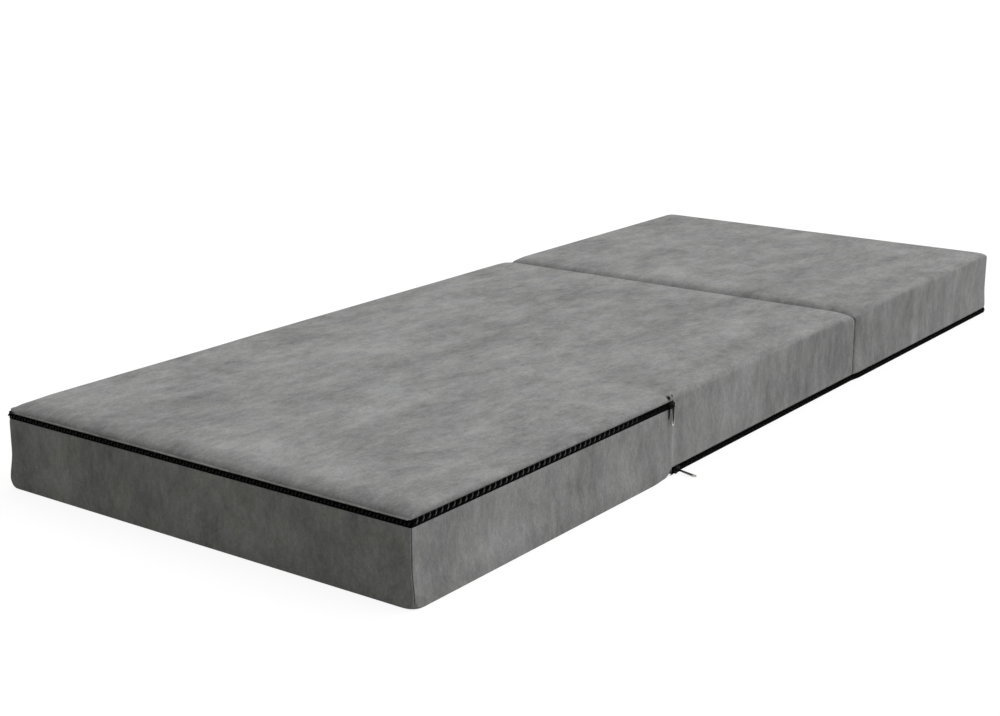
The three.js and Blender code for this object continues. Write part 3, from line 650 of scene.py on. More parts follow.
def mesh_object(name, points, faces, thickness=0.0, uv=None, marks=None):
    """Makes an object from points and faces, drops what is unused or doubled, and gives cloth its thickness.
    marks are named values, one for each point."""
    doubled, degenerate = 0.02 * MM, 0.005 * MM
    faces = np.asarray(faces, int)
    used = np.unique(faces)
    fresh = np.full(len(points), -1)
    fresh[used] = np.arange(len(used))
    mesh = bpy.data.meshes.new(name)
    mesh.from_pydata(np.asarray(points)[used].tolist(), [], fresh[faces].tolist())
    for mark, values in (marks or {}).items():
        mark_points(mesh, mark, np.asarray(values)[used])
    if uv is not None:
        layer = mesh.uv_layers.new(name="UVMap")
        corners = np.zeros(len(mesh.loops), int)
        mesh.loops.foreach_get("vertex_index", corners)
        layer.data.foreach_set("uv", np.asarray(uv)[used][corners].astype(np.float32).ravel())
    work = bmesh.new()
    work.from_mesh(mesh)
    bmesh.ops.remove_doubles(work, verts=work.verts, dist=doubled)
    bmesh.ops.dissolve_degenerate(work, edges=work.edges, dist=degenerate)
    if thickness:
        thicken(work, thickness)
    for face in work.faces:
        face.smooth = True
    work.to_mesh(mesh)
    work.free()
    return put_in_scene(name, mesh)


def dress(piece, material):
    """Gives a piece its material."""
    piece.data.materials.clear()
    piece.data.materials.append(material_of(material))


def quarter(steps):
    """Shares of inset and rise up a quarter round, from upright to flat."""
    turns = [math.pi / 2 * k / steps for k in range(steps + 1)]
    return [(1 - math.cos(t), math.sin(t)) for t in turns]


def rolled(level, height):
    """Share of an inset that is left at a level of a rounded lower edge: 1 on the floor, 0 from height up."""
    below = max(0.0, 1 - level / height)
    return 1 - math.sqrt(1 - below * below)


def straight_levels(low, high):
    """Levels of the rings up an upright side."""
    count = max(1, round((high - low) / ring_step))
    return [low + (high - low) * k / count for k in range(count + 1)]


def section_edges(near, far):
    """Edges of a section between two places along the mattress, in the order of its sides."""
    half = bpy.context.scene.mattress_sizes.half_width
    return (near, half, far, -half)


def smooth(share):
    """Eases a share from 0 to 1, and holds it there."""
    share = min(1.0, max(0.0, share))
    return share * share * (3 - 2 * share)


def skirt(level):
    """Share at a level of how far a side stands out just above the floor: all of it up to 12 mm, none at 60 mm."""
    return 1 - smooth((level - 12 * MM) / (48 * MM))


def foot_rings(sizes, zips):
    """Rings of the foot section: tray up to its zip, then the crown of the top panel. A ring is its level, its
    insets on the four sides and its radii at the four corners."""
    r, f = sizes.corner_radius, sizes.fold_corner_radius
    # Above the floor the near side stands out less than the long sides, which get theirs in foot_shell.
    near_share = 0.4

    def near_bulge(level):
        return near_share * (sizes.tray_bulge * skirt(level))

    rows = []
    for height in under_levels:
        level = height * MM
        roll = sizes.under_roll * rolled(level, sizes.under_roll)
        fold = sizes.curl_length * rolled(level, sizes.curl_height)
        ball = r + (sizes.ball_radius - r) * rolled(level, sizes.ball_height)
        rows.append((level, (roll - near_bulge(level), roll, fold, roll), (ball, f, f, ball)))
    strip_low, strip_high = zips.foot_height - zips.strip / 2, zips.foot_height + zips.strip / 2
    for level in straight_levels(under_levels[-1] * MM, strip_low - 7 * MM)[1:]:
        rows.append((level, (-near_bulge(level), 0, 0, 0), (r, f, f, r)))
    # Towards the zip the cloth dips in behind the tapes, by so many millimetres at each level.
    for level, recess in ((strip_low - 3.5 * MM, 0.15), (strip_low - 1.2 * MM, 0.5), (strip_low, 1.1),
                          (strip_low + 0.8 * MM, 1.6), (zips.foot_height - 1 * MM, 1.7)):
        e = recess * MM
        rows.append((level, (e, e, 0, e), (r, f, f, r)))
    tray_top = len(rows) - 1
    # On the near end the cloth above the zip stands out further and covers the tape's edge.
    for level, recess, near in ((zips.foot_height + 1 * MM, 1.7, 1.7), (strip_high - 0.6 * MM, 1.7, near_start),
                                (strip_high + 0.3 * MM, 1.2, near_start)):
        e = recess * MM
        rows.append((level, (near * MM, e, 0, e), (r, f, f, r)))
    for inset, rise in quarter(crown_steps):
        near, right, left, level = foot_crown(sizes, zips, inset, rise)
        soft = r + 0.6 * sizes.crown_width * inset
        rows.append((level, (near, right, 0, left), (soft, f * (1 - inset), f * (1 - inset), soft)))
    return rows, tray_top


def foot_crown(sizes, zips, inset, rise):
    """Insets on the near, right and left side, and level, of the foot's rounded top edge at a place on the quarter
    round."""
    base = zips.foot_height + zips.strip / 2 + 1.2 * MM
    near_low, side_low = near_start * MM, side_start * MM
    near = near_low + (sizes.crown_width - near_low) * inset
    right = side_low + (sizes.side_crown - side_low) * inset
    left = side_low + (sizes.left_crown - side_low) * inset - sizes.left_bulge * rise * (1 - inset)
    return near, right, left, base + (sizes.thickness + sizes.puff - base) * rise


def cover_rings(sizes, groove_near, groove_far):
    """Rings of the middle or the head section: underside, zip, cover up to its shoulders. The middle section has
    its groove on the far side and a plain fold on the near side, the head section its groove on the near side."""
    r, f = sizes.corner_radius, sizes.fold_corner_radius
    far_r = f if groove_far else r
    radii = (f, far_r, far_r, f)
    # How far in the cloth lies behind the zip and on the floor, there at the plain fold too, and how high it rounds
    pressed, under, fold_under, under_height = 1.6 * MM, 3 * MM, 1.5 * MM, 5 * MM
    rows = []
    for inset, rise in reversed(quarter(5)):
        e = pressed + (under - pressed) * inset
        near = fold_under * inset * (0 if groove_near else 1)
        rows.append((under_height * (1 - rise), (near, e, 0 if groove_far else e, e), radii))
    under_top = len(rows) - 1
    # From behind the zip the cloth comes out to the plain side: levels and recesses in millimetres.
    for level, recess in ((7, 1.7), (10.4, 1.7), (11.7, 1.2), (13, 0.6), (16, 0.15)):
        e = recess * MM
        rows.append((level * MM, (0, e, 0 if groove_far else e, e), radii))
    start = sizes.thickness - sizes.shoulder_drop
    for level in straight_levels(20 * MM, start):
        rows.append((level, (0, 0, 0, -sizes.left_bulge * smooth((level - 20 * MM) / (70 * MM))), radii))
    shoulder = len(rows) - 1
    for inset, rise in quarter(crown_steps)[1:]:
        near = sizes.groove_width * inset if groove_near else 0.0
        far = (sizes.groove_lip if groove_far else sizes.far_crown) * inset
        soft = 0.6 * sizes.groove_width * inset
        near_radius = f + soft if groove_near else f * (1 - inset)
        rows.append((start + (sizes.shoulder_drop + sizes.puff) * rise,
                     (near, sizes.side_crown * inset, far, left_inset(sizes, inset)),
                     (near_radius, far_r + soft, far_r + soft, near_radius)))
    return rows, under_top, shoulder


def left_inset(sizes, inset):
    """Inset on the left side of the middle and the head section at a place on the quarter round."""
    return (sizes.left_bulge + sizes.left_crown) * inset - sizes.left_bulge


def stand_out(points, levels, beyond, reach, amount):
    """Moves points outwards, as a side stands out just above the floor. beyond says how far each one is past the
    fold, where that starts, and reach how far it takes to be complete."""
    half = bpy.context.scene.mattress_sizes.half_width
    for point, level, past in zip(points, levels, beyond):
        point[0] *= 1 + skirt(level) * smooth(past / reach) * amount / half


def tighten(shell, far_y):
    """Makes the rounding of the top lower along the sides and at the far end. At the groove the sides keep most
    of it."""
    sizes = bpy.context.scene.mattress_sizes
    top = sizes.thickness + sizes.puff
    side_loss, groove_share, far_loss = 0.55, 0.75, 0.27
    # The sides begin about 40 mm in, the far end 60 mm before it, and each grows over 30 mm.
    for at in shell.ring_ids[shell.crown:].ravel():
        x, y, z = shell.points[at]
        side = smooth((abs(x) - 0.36) / 0.03)
        groove = smooth(1 - abs(y - head_fold_y) / (70 * MM))
        far = smooth((y - far_y + 0.06) / 0.03)
        kept = 1 - side_loss * side * (1 - groove_share * groove) - far_loss * far * (1 - side)
        shell.points[at][2] = top - (top - z) * kept


def widen(shell, sign, crown, factor, plane, reach):
    """Lets the rounding of the top reach further in on the right (sign 1) or the left (-1) near a plane at y. It
    fades over the 150 mm inwards of the rounding."""
    half = bpy.context.scene.mattress_sizes.half_width
    for at in shell.upper(shell.crown):
        x, y, _ = shell.points[at]
        depth = half - sign * x
        share = smooth(1 - abs(y - plane) / reach) * (1 - smooth((depth - crown) / 0.15))
        shell.points[at][0] -= sign * factor * share * min(max(depth, 0.0), crown)


def undulation(point, size):
    """Soft unevenness from -1 to 1 at a given size, the same in every run."""
    return noise.noise(Vector(point) / size)


def gathered(run, seed):
    """Depth from 0 to 1 of the gathers along a seam. They stand 80 to 100 mm apart and aren't all as deep."""
    spacing = 0.088
    drift = 0.45 * noise.noise(Vector((run / 0.22, seed, 0.3)))
    wave = 0.5 + 0.5 * math.cos(2 * math.pi * (run / spacing + drift))
    depth = 0.6 + 0.6 * noise.noise(Vector((run / 0.16, seed, 7.7)))
    fine = 0.25 * noise.noise(Vector((run / 0.03, seed, 3.1)))
    return min(1.0, max(0.0, wave ** 1.4 * depth + fine))


def settle(shell):
    """Sinks the skin by the little that soft foam in sewn cloth does, in hollows of 160 mm and of 50 mm."""
    normals = shell.normals()
    off_floor = 0.5 * MM
    for k, p in enumerate(shell.points.copy()):
        if p[2] > off_floor:
            soft = max(0.0, 0.45 + 0.55 * undulation(p, 0.16))
            small = 0.5 + 0.5 * undulation(p + 5.0, 0.05)
            shell.points[k] -= normals[k] * (0.3 * soft + 0.15 * small) * MM


def gather(shell, side, reach, depth, seed, crease_shade, crease_shade_reach):
    """Draws the cloth in beside the seam under the rounding of the top, in gathers, and paints shade into their
    hollows and into the crease along the seam, where the pile is also pressed. reach and crease_shade_reach say how
    far from it that goes, depth and crease_shade how strong it is."""
    normals = shell.normals()
    seam = shell.crown
    hollow_shade = 23
    for c in np.flatnonzero(shell.side == side):
        pull = gathered(shell.run[c], seed)
        if side in (RIGHT, LEFT):
            pull *= smooth(abs(shell.rings[seam][c][1] - shell.folds[0]) / (30 * MM))
        for k in range(seam, len(shell.rings)):
            away = float(np.linalg.norm(shell.rings[k][c] - shell.rings[seam][c]))
            at = shell.ring_ids[k][c]
            # Painted shade along the crease of the seam.
            shell.tone[at] -= crease_shade * max(0.0, 1 - away / crease_shade_reach)
            if away < reach:
                share = math.sin(math.pi * (away / reach) ** 0.75)
                shell.points[at] -= normals[at] * depth * share * pull
                # Painted shade in the hollow of the gather.
                shell.tone[at] -= hollow_shade * depth * share * pull


def sew_upright(shell, corners, first, last):
    """Draws the cloth in along the upright seams at corners and paints shade into the sunken seam, from ring first
    to ring last. It starts above the floor, between 6 and 14 mm up."""
    normals = shell.normals()
    for corner in corners:
        for offset in range(-corner_steps, corner_steps + 1):
            c = (shell.corners[corner] + offset) % shell.columns
            for k in range(first, last + 1):
                share = min(1.0, max(0.0, (shell.levels[k] - 6 * MM) / (8 * MM)))
                at = shell.ring_ids[k][c]
                shell.points[at] -= normals[at] * seam_sink[abs(offset)] * MM * share
                # Painted shade in the sunken seam.
                shell.tone[at] += seam_shade[abs(offset)] * share


def paint_light_beside(shell, plane, reach, amount, top=1.0):
    """Paints light (amount above 0) or shade (below 0) onto the upright sides up to reach from the plane of a fold.
    It fades over the 20 mm below top."""
    rings = shell.ring_ids.ravel()
    upright = rings[np.abs(shell.points[rings, 0]) > bpy.context.scene.mattress_sizes.half_width - 3 * MM]
    away = np.abs(shell.points[upright, 1] - plane)
    below = np.clip((top - shell.points[upright, 2]) / (20 * MM), 0, 1)
    shell.tone[upright] += amount * below * np.clip(1 - away / reach, 0, 1)


def spot(shell, place, reach, amount, sink=0.0):
    """Paints light (amount above 0) or shade (below 0) round one place, and sinks the cloth there. place, reach and
    sink are in millimetres.
    """
    away = np.linalg.norm(shell.points - np.array(place) * MM, axis=1) / (reach * MM)
    share = np.clip(1 - away, 0, 1)
    shell.tone += amount * share
    shell.points[:, 2] -= sink * MM * share


def meet_foot(shell):
    """Lifts the near end of the middle section's shoulders to the foot's crown, over the last 18 mm."""
    sizes, zips = bpy.context.scene.mattress_sizes, bpy.context.scene.mattress_zips
    for ring, (inset, rise) in zip(shell.ring_ids[shell.crown:], quarter(crown_steps)):
        _, right, left, foot_level = foot_crown(sizes, zips, inset, rise)
        for at in ring:
            x, y, z = shell.points[at]
            share = smooth(1 - (y - shell.folds[0]) / (18 * MM)) * min(1.0, max(0.0, (abs(x) - 0.30) / 0.06))
            step = right - sizes.side_crown * inset if x > 0 else left_inset(sizes, inset) - left
            shell.points[at][2] = z + share * (foot_level - z)
            shell.points[at][0] = x - share * step


def lower_left(shell, sizes):
    """Draws the near left corner of the foot's top down, and the left side behind it a little. That fades over the
    8 mm below the top's surface, 200 mm inwards, and 400 to 550 mm along."""
    corner_drop, corner_reach, side_drop = 3 * MM, 30 * MM, 1 * MM
    for at in shell.upper(shell.tray_top + 2):
        x, y, z = shell.points[at]
        across, along = x + sizes.half_width, y - tray_low.y
        corner = corner_drop * smooth(1 - math.hypot(across, along) / corner_reach)
        side = side_drop * smooth(1 - across / 0.2) * smooth((0.55 - along) / 0.15)
        shell.points[at][2] -= (corner + side) * smooth((z - 124 * MM) / (8 * MM))


def foot_shell(sizes):
    """Skin of the foot section."""
    zips = bpy.context.scene.mattress_zips
    rows, tray_top = foot_rings(sizes, zips)
    shell = Shell(section_edges(tray_low.y, foot_fold_y - hair), rows)
    shell.folds = (foot_fold_y - hair,)
    shell.tray_top = shell.upright = tray_top
    shell.crown = tray_top + 3
    # The cloth reaches a little down over the tape on the near end, and its top is darkened towards that end, over
    # 50 mm, with painted shade.
    overlap, overlap_reach, near_crown_shade, near_crown_reach = 0.7 * MM, 8 * MM, 0.33, 50 * MM
    away = shell.points[:, 1] - tray_low.y
    cloth = shell.ring_ids[tray_top + 2:].ravel()
    shell.points[cloth, 2] -= overlap * np.clip(1 - away[cloth] / overlap_reach, 0, 1)
    above = shell.points[:, 2] > zips.foot_height
    shell.tone[above] -= near_crown_shade * np.clip(1 - away[above] / near_crown_reach, 0, 1)
    widen(shell, -1, sizes.left_crown, factor=3.0, plane=tray_low.y, reach=90 * MM)
    lower_left(shell, sizes)
    stand_out(shell.points, shell.points[:, 2], foot_fold_y - shell.points[:, 1], 70 * MM, sizes.tray_bulge)
    settle(shell)
    gather(shell, NEAR, reach=0.039, depth=3.0 * MM, seed=1.5, crease_shade=0.16, crease_shade_reach=0.014)
    gather(shell, RIGHT, reach=0.012, depth=0.6 * MM, seed=4.5, crease_shade=0.12, crease_shade_reach=0.005)
    gather(shell, LEFT, reach=0.009, depth=0.5 * MM, seed=8.5, crease_shade=0.12, crease_shade_reach=0.005)
    # The edge of the cloth turns out over the near tape, and a painted highlight along it makes a light line.
    edge_start, line_highlight, line_reach = 0.3 * MM, 1.2, 3 * MM
    edge = shell.ring_ids[tray_top + 2:tray_top + 5].ravel()
    shell.points[edge[away[edge] < 0.5 * MM], 1] = tray_low.y + edge_start
    shell.tone[edge] += line_highlight * np.clip(1 - away[edge] / line_reach, 0, 1)
    sew_upright(shell, (NEAR_LEFT, NEAR_RIGHT), 0, tray_top)
    # A painted highlight runs up the sides beside the fold.
    paint_light_beside(shell, shell.folds[0], reach=0.004, amount=0.50, top=0.12)
    # Above the slider a painted highlight stands beside a small pucker that is sunk and darkened with painted
    # shade.
    spot(shell, (398, -365, 130), reach=5, amount=0.3)
    spot(shell, (397, -355.5, 130.4), reach=6.5, amount=-1.6, sink=0.9)
    return shell


def middle_shell(sizes):
    """Skin of the middle section."""
    rows, under_top, shoulder = cover_rings(sizes, False, True)
    near, far = foot_fold_y + hair, head_fold_y - 3 * hair
    shell = Shell(section_edges(near, far), rows)
    shell.folds = (near, far)
    shell.under_top, shell.upright, shell.crown = under_top, shoulder, shoulder
    tighten(shell, head_fold_y)
    widen(shell, 1, sizes.side_crown, factor=1.5, plane=head_fold_y, reach=70 * MM)
    widen(shell, -1, sizes.left_crown, factor=1.2, plane=head_fold_y, reach=50 * MM)
    meet_foot(shell)
    settle(shell)
    gather(shell, FAR, reach=0.028, depth=0.8 * MM, seed=12.5, crease_shade=0.05, crease_shade_reach=0.03)
    # Painted highlights run up the sides beside both folds.
    paint_light_beside(shell, near, reach=0.004, amount=0.50, top=0.12)
    paint_light_beside(shell, far, reach=0.004, amount=0.22)
    # A faint crease, sunk a little and darkened with painted shade, runs on from the pucker above the slider,
    # inwards and away from the fold.
    for step in range(11):
        spot(shell, (394 - 0.7 * step, -350 + 2.6 * step, 128 - 0.15 * step), reach=3.5, amount=-0.06, sink=0.15)
    return shell


def head_shell(sizes):
    """Skin of the head section."""
    rows, under_top, shoulder = cover_rings(sizes, True, False)
    near = head_fold_y + 3 * hair
    shell = Shell(section_edges(near, head_high.y), rows)
    shell.folds = (near,)
    shell.under_top, shell.upright, shell.crown = under_top, shoulder, shoulder
    stand_out(shell.points, shell.points[:, 2], shell.points[:, 1] - head_fold_y, 30 * MM, sizes.head_spread)
    tighten(shell, head_high.y)
    widen(shell, 1, sizes.side_crown, factor=1.5, plane=head_fold_y, reach=70 * MM)
    widen(shell, -1, sizes.left_crown, factor=2.0, plane=head_fold_y, reach=50 * MM)
    settle(shell)
    gather(shell, NEAR, reach=0.039, depth=1.8 * MM, seed=16.5, crease_shade=0.24, crease_shade_reach=0.036)
    # Painted shade darkens the top towards the groove, fading out over 80 mm.
    groove_shade, groove_reach = 0.14, 80 * MM
    top = shell.points[:, 2] > sizes.thickness - sizes.shoulder_drop
    shell.tone[top] -= groove_shade * np.clip(1 - (shell.points[top, 1] - head_fold_y) / groove_reach, 0, 1)
    sew_upright(shell, (FAR_RIGHT, FAR_LEFT), under_top + 1, shoulder)
    # Painted shade runs up the sides beside the groove.
    paint_light_beside(shell, near, reach=0.014, amount=-0.45)
    paint_light_beside(shell, near, reach=0.005, amount=-0.30)
    return shell


section_skins = {"foot": foot_shell, "middle": middle_shell, "head": head_shell}
shells = {}


def shell_of(name):
    """The skin of a section, made at its first use."""
    if name in shells:
        return shells[name]
    sizes = bpy.context.scene.mattress_sizes
    shell = section_skins[name](sizes)
    # Painted shade over the rounding of the long side edges, darkest halfway round it, where it damps the light
    # that they catch.
    edge_shade = 0.08
    sides = (shell.side == RIGHT) | (shell.side == LEFT)
    last = len(shell.rings) - 1
    for k in range(shell.crown, last + 1):
        share = math.sin(math.pi * (k - shell.crown) / (last - shell.crown))
        shell.tone[shell.ring_ids[k][sides]] -= edge_shade * share
    if name != "foot":
        # A painted highlight makes a light line along the upper edge of the long zip.
        line_level, line_highlight, line_reach = 13.5 * MM, 0.33, 4 * MM
        for k, level in enumerate(shell.levels):
            shell.tone[shell.ring_ids[k]] += line_highlight * max(0.0, 1 - abs(level - line_level) / line_reach)
    # At the foot fold the top has no rounding: its last rows stand on one line, and they stay together.
    if name != "head":
        foot = name == "foot"
        rows = shell.top_ids[:, -corner_steps:] if foot else shell.top_ids[:, :corner_steps]
        inner = shell.top_ids[:, -1 - corner_steps if foot else corner_steps]
        shell.points[rows] = shell.points[inner][:, None]
        shell.tone[rows] = shell.tone[inner][:, None]
    shell.points[:, 2] = np.clip(shell.points[:, 2], 0, sizes.thickness + sizes.puff)
    shells[name] = shell
    return shell


def join_rows(first, first_ids, second, second_ids, y):
    """Brings the rows of points that stand on the two sides of a fold together on the fold."""
    middle = (first[first_ids[:, 0]] + second[second_ids[:, 0]]) / 2
    middle[:, 1] = y
    first[first_ids] = middle[:, None]
    second[second_ids] = middle[:, None]


def make_top_cloth():
    """One velour piece over the top of the foot section and on over the middle section with its sides."""
    sizes = bpy.context.scene.mattress_sizes
    foot, middle = shell_of("foot"), shell_of("middle")
    foot_points, middle_points = foot.points.copy(), middle.points.copy()
    join_rows(foot_points, foot.top_ids[:, -1 - corner_steps:],
              middle_points, middle.top_ids[:, :corner_steps + 1], foot_fold_y)
    crown = foot.wall(lambda k, side, corner: k > foot.tray_top and (side != FAR or corner))
    crown += foot.lid(foot.top_ids, True)
    cover = middle.wall(lambda k, side, corner: k > middle.under_top and (
        side in (RIGHT, LEFT) or corner or (side == FAR and k >= middle.upright)))
    cover += middle.lid(middle.top_ids, True)
    faces = np.vstack([np.array(crown), np.array(cover) + len(foot_points)])
    piece = mesh_object("top_cloth", np.vstack([foot_points, middle_points]), faces, sizes.cloth,
                        marks={"tone": np.concatenate([foot.tone, middle.tone])})
    dress(piece, "brushed_polyester_velour")
    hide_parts("foot_top_panel", "middle_cover")
    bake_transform(piece)


def make_foot_tray():
    """Velour tray of the foot section: three sides, and the underside that curls up at the fold."""
    sizes = bpy.context.scene.mattress_sizes
    foot = shell_of("foot")
    faces = foot.lid(foot.bottom_ids, False)
    faces += foot.wall(lambda k, side, corner: k < foot.tray_top and (side != FAR or corner or k < curl_ring))
    piece = mesh_object("foot_tray_cloth", foot.points, faces, sizes.cloth, marks={"tone": foot.tone})
    dress(piece, "brushed_polyester_velour")
    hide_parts("foot_tray")
    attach(piece, "foot_section")


def make_head_cover():
    """Velour cover of the head section: top, sides, far end and the roll into the groove."""
    sizes = bpy.context.scene.mattress_sizes
    head = shell_of("head")
    faces = head.lid(head.top_ids, True)
    faces += head.wall(lambda k, side, corner: k > head.under_top and (
        side != NEAR or corner or k >= head.upright))
    piece = mesh_object("head_cover_cloth", head.points, faces, sizes.cloth, marks={"tone": head.tone})
    dress(piece, "brushed_polyester_velour")
    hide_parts("head_cover")
    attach(piece, "head_section")


def make_undersides():
    """One velour piece under the middle and the head section, which is the hinge between them."""
    sizes = bpy.context.scene.mattress_sizes
    middle, head = shell_of("middle"), shell_of("head")
    middle_points, head_points = middle.points.copy(), head.points.copy()
    join_rows(middle_points, middle.bottom_ids[:, -1:], head_points, head.bottom_ids[:, :1], head_fold_y)
    near = middle.lid(middle.bottom_ids, False)
    near += middle.wall(lambda k, side, corner: k < middle.under_top and (side != FAR or corner))
    far = head.lid(head.bottom_ids, False)
    far += head.wall(lambda k, side, corner: k < head.under_top and (side != NEAR or corner))
    faces = np.vstack([np.array(near), np.array(far) + len(middle_points)])
    piece = mesh_object("underside_cloth", np.vstack([middle_points, head_points]), faces, sizes.cloth,
                        marks={"tone": np.concatenate([middle.tone, head.tone])})
    dress(piece, "brushed_polyester_velour")
    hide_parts("middle_underside", "head_underside")
    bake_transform(piece)


def make_fold_linings():
    """Woven lining panels that close the sections at the two folds."""
    sizes = bpy.context.scene.mattress_sizes
    foot, middle, head = shell_of("foot"), shell_of("middle"), shell_of("head")
    below_cloth = sizes.cloth + 0.4 * MM

    def last_under(shell):
        return max(k for k, level in enumerate(shell.levels) if level < sizes.thickness - below_cloth - 1 * MM)

    panels = (
        ("foot_fold_lining", foot, FAR, curl_ring, last_under(foot), "foot_fold_end_panel", "foot_section", -1),
        ("middle_foot_lining", middle, NEAR, 0, last_under(middle), "middle_foot_end_panel", "middle_section", 1),
        ("middle_head_lining", middle, FAR, 0, middle.upright, "middle_head_end_panel", "middle_section", -1),
        ("head_fold_lining", head, NEAR, 0, head.upright, "head_fold_end_panel", "head_section", 1),
    )
    for name, shell, side, low, high, node, body, inwards in panels:
        points = shell.points.copy()
        faces = shell.wall(lambda k, s, corner: low <= k < high and s == side and not corner)
        used = np.unique(np.array(faces))
        if high > shell.upright:
            for c in np.flatnonzero(shell.side == side):
                points[shell.ring_ids[high][c]][2] = points[shell.ring_ids[-1][c]][2] - below_cloth
        # The lining hangs a little slack, inwards, and is held at its edges: over 20 mm at its top and its foot and
        # over 30 mm at its sides.
        for p in (points[k] for k in used):
            slack = 0.5 + 0.5 * undulation(p + 3.0, 0.09)
            edge = min(1.0, p[2] / 0.02, (sizes.thickness - p[2]) / 0.02, (sizes.half_width - abs(p[0])) / 0.03)
            p[1] += inwards * (0.2 + 1.1 * slack * max(0.0, edge)) * MM
        piece = mesh_object(name, points, faces, sizes.cloth)
        dress(piece, "plain_weave_polyester_lining")
        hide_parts(node)
        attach(piece, body)


def make_foam_blocks():
    """Foam block inside each section: the section's own skin, drawn in by the cloth and a little air."""
    gap = 4 * MM
    for name, node, body in (("foot", "foot_foam", "foot_section"), ("middle", "middle_foam", "middle_section"),
                             ("head", "head_foam", "head_section")):
        shell = shell_of(name)
        centre = (shell.points.min(0) + shell.points.max(0)) / 2
        half = (shell.points.max(0) - shell.points.min(0)) / 2
        points = centre + (shell.points - centre) * (1 - gap / half)
        faces = shell.lid(shell.top_ids, True) + shell.lid(shell.bottom_ids, False)
        faces += shell.wall(lambda k, side, corner: True)
        piece = mesh_object(name + "_foam_block", points, faces)
        dress(piece, "cut_polyurethane_foam")
        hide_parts(node)
        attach(piece, body)


# Distance between the points of a zip's line, and steps of its turn round a corner
zip_step = 5 * MM
turn_steps = 8


def zip_path(near, far, around_near, radius):
    """Line of a zip round a section, as points, outward directions and distances. It runs up the right side,
    round the end and back along the left side. near and far are where it starts and the end it turns round."""
    reach = bpy.context.scene.mattress_sizes.half_width
    sign = -1 if around_near else 1
    path, outward = [], []

    def straight(a, b, out):
        count = max(1, round(math.dist(a, b) / zip_step))
        for k in range(count + 1):
            t = k / count
            path.append((a[0] + (b[0] - a[0]) * t, a[1] + (b[1] - a[1]) * t))
            outward.append(out)

    def turn(centre, start, stop):
        for k in range(1, turn_steps):
            angle = math.radians(start + (stop - start) * k / turn_steps)
            path.append((centre[0] + radius * math.cos(angle), centre[1] + sign * radius * math.sin(angle)))
            outward.append((math.cos(angle), sign * math.sin(angle)))

    corner = far - sign * radius
    straight((reach, near), (reach, corner), (1, 0))
    turn((reach - radius, corner), 0, 90)
    straight((reach - radius, far), (radius - reach, far), (0, sign))
    turn((radius - reach, corner), 90, 180)
    straight((-reach, corner), (-reach, near), (-1, 0))
    run = [0.0]
    for a, b in zip(path, path[1:]):
        run.append(run[-1] + math.dist(a, b))
    return np.array(path), np.array(outward), np.array(run)


def side_path(x, near, far):
    """Straight line of a zip along one long side."""
    count = max(1, round(abs(far - near) / zip_step))
    ys = [near + (far - near) * k / count for k in range(count + 1)]
    out = (1, 0) if x > 0 else (-1, 0)
    return (np.array([(x, y) for y in ys]), np.array([out] * (count + 1)),
            np.array([abs(y - near) for y in ys]))


def close_ends(piece):
    """Fills the open ends of a swept piece and turns its faces outwards."""
    work = bmesh.new()
    work.from_mesh(piece.data)
    bmesh.ops.holes_fill(work, edges=[e for e in work.edges if e.is_boundary])
    bmesh.ops.recalc_face_normals(work, faces=work.faces)
    work.to_mesh(piece.data)
    work.free()


def sweep_faces(stations, sides):
    """Faces of a tube of closed rows."""
    faces = []
    for k in range(stations - 1):
        for j in range(sides):
            a, b = k * sides + j, k * sides + (j + 1) % sides
            faces.append((a, b, b + sides, a + sides))
    return faces


def tape(name, path, profile, node, body, seed):
    """Woven tape swept along a line. profile holds (outwards, up) points, closed."""
    line, outward, run = path
    points, uv = [], []
    sides = [math.dist(a, b) for a, b in zip(profile, profile[1:] + profile[:1])]
    edge = np.concatenate([[0], np.cumsum(sides)])
    # The tape waves a little along its run.
    wave_height, wave_length = 0.12 * MM, 0.04
    for p, o, s in zip(line, outward, run):
        wave = wave_height * noise.noise(Vector((s / wave_length, seed, 0)))
        for k, (out, up) in enumerate(profile):
            points.append((p[0] + o[0] * (out + wave), p[1] + o[1] * (out + wave), up + wave))
            uv.append((s, edge[k]))
    piece = mesh_object(name, points, sweep_faces(len(line), len(profile)), uv=uv)
    close_ends(piece)
    dress(piece, "herringbone_polyester_zip_tape")
    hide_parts(node)
    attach(piece, body)


def tape_tail(name, stations, body):
    """Loose end of a tape beyond its slider: it tapers where it was cut. stations hold a middle point, half a
    width along the mattress, half a height and half a thickness, all in millimetres."""
    points, uv = [], []
    for (x, y, z), wide, tall, thick in stations:
        for dx, dy, dz in ((-1, -1, -1), (-1, 1, 1), (1, 1, 1), (1, -1, -1)):
            points.append(((x + dx * thick) * MM, (y + dy * wide) * MM, (z + dz * tall) * MM))
            uv.append((z * MM, dy * wide * MM))
    piece = mesh_object(name, points, sweep_faces(len(stations), 4), uv=uv)
    close_ends(piece)
    dress(piece, "herringbone_polyester_zip_tape")
    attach(piece, body)


def at_run(path, place):
    """Point, outward direction and direction ahead at a distance along a line."""
    line, outward, run = path
    k = min(max(int(np.searchsorted(run, place)) - 1, 0), len(run) - 2)
    share = (place - run[k]) / max(run[k + 1] - run[k], 1e-9)
    p = line[k] * (1 - share) + line[k + 1] * share
    o = outward[k] * (1 - share) + outward[k + 1] * share
    ahead = line[k + 1] - line[k]
    return p, o / np.linalg.norm(o), ahead / np.linalg.norm(ahead)


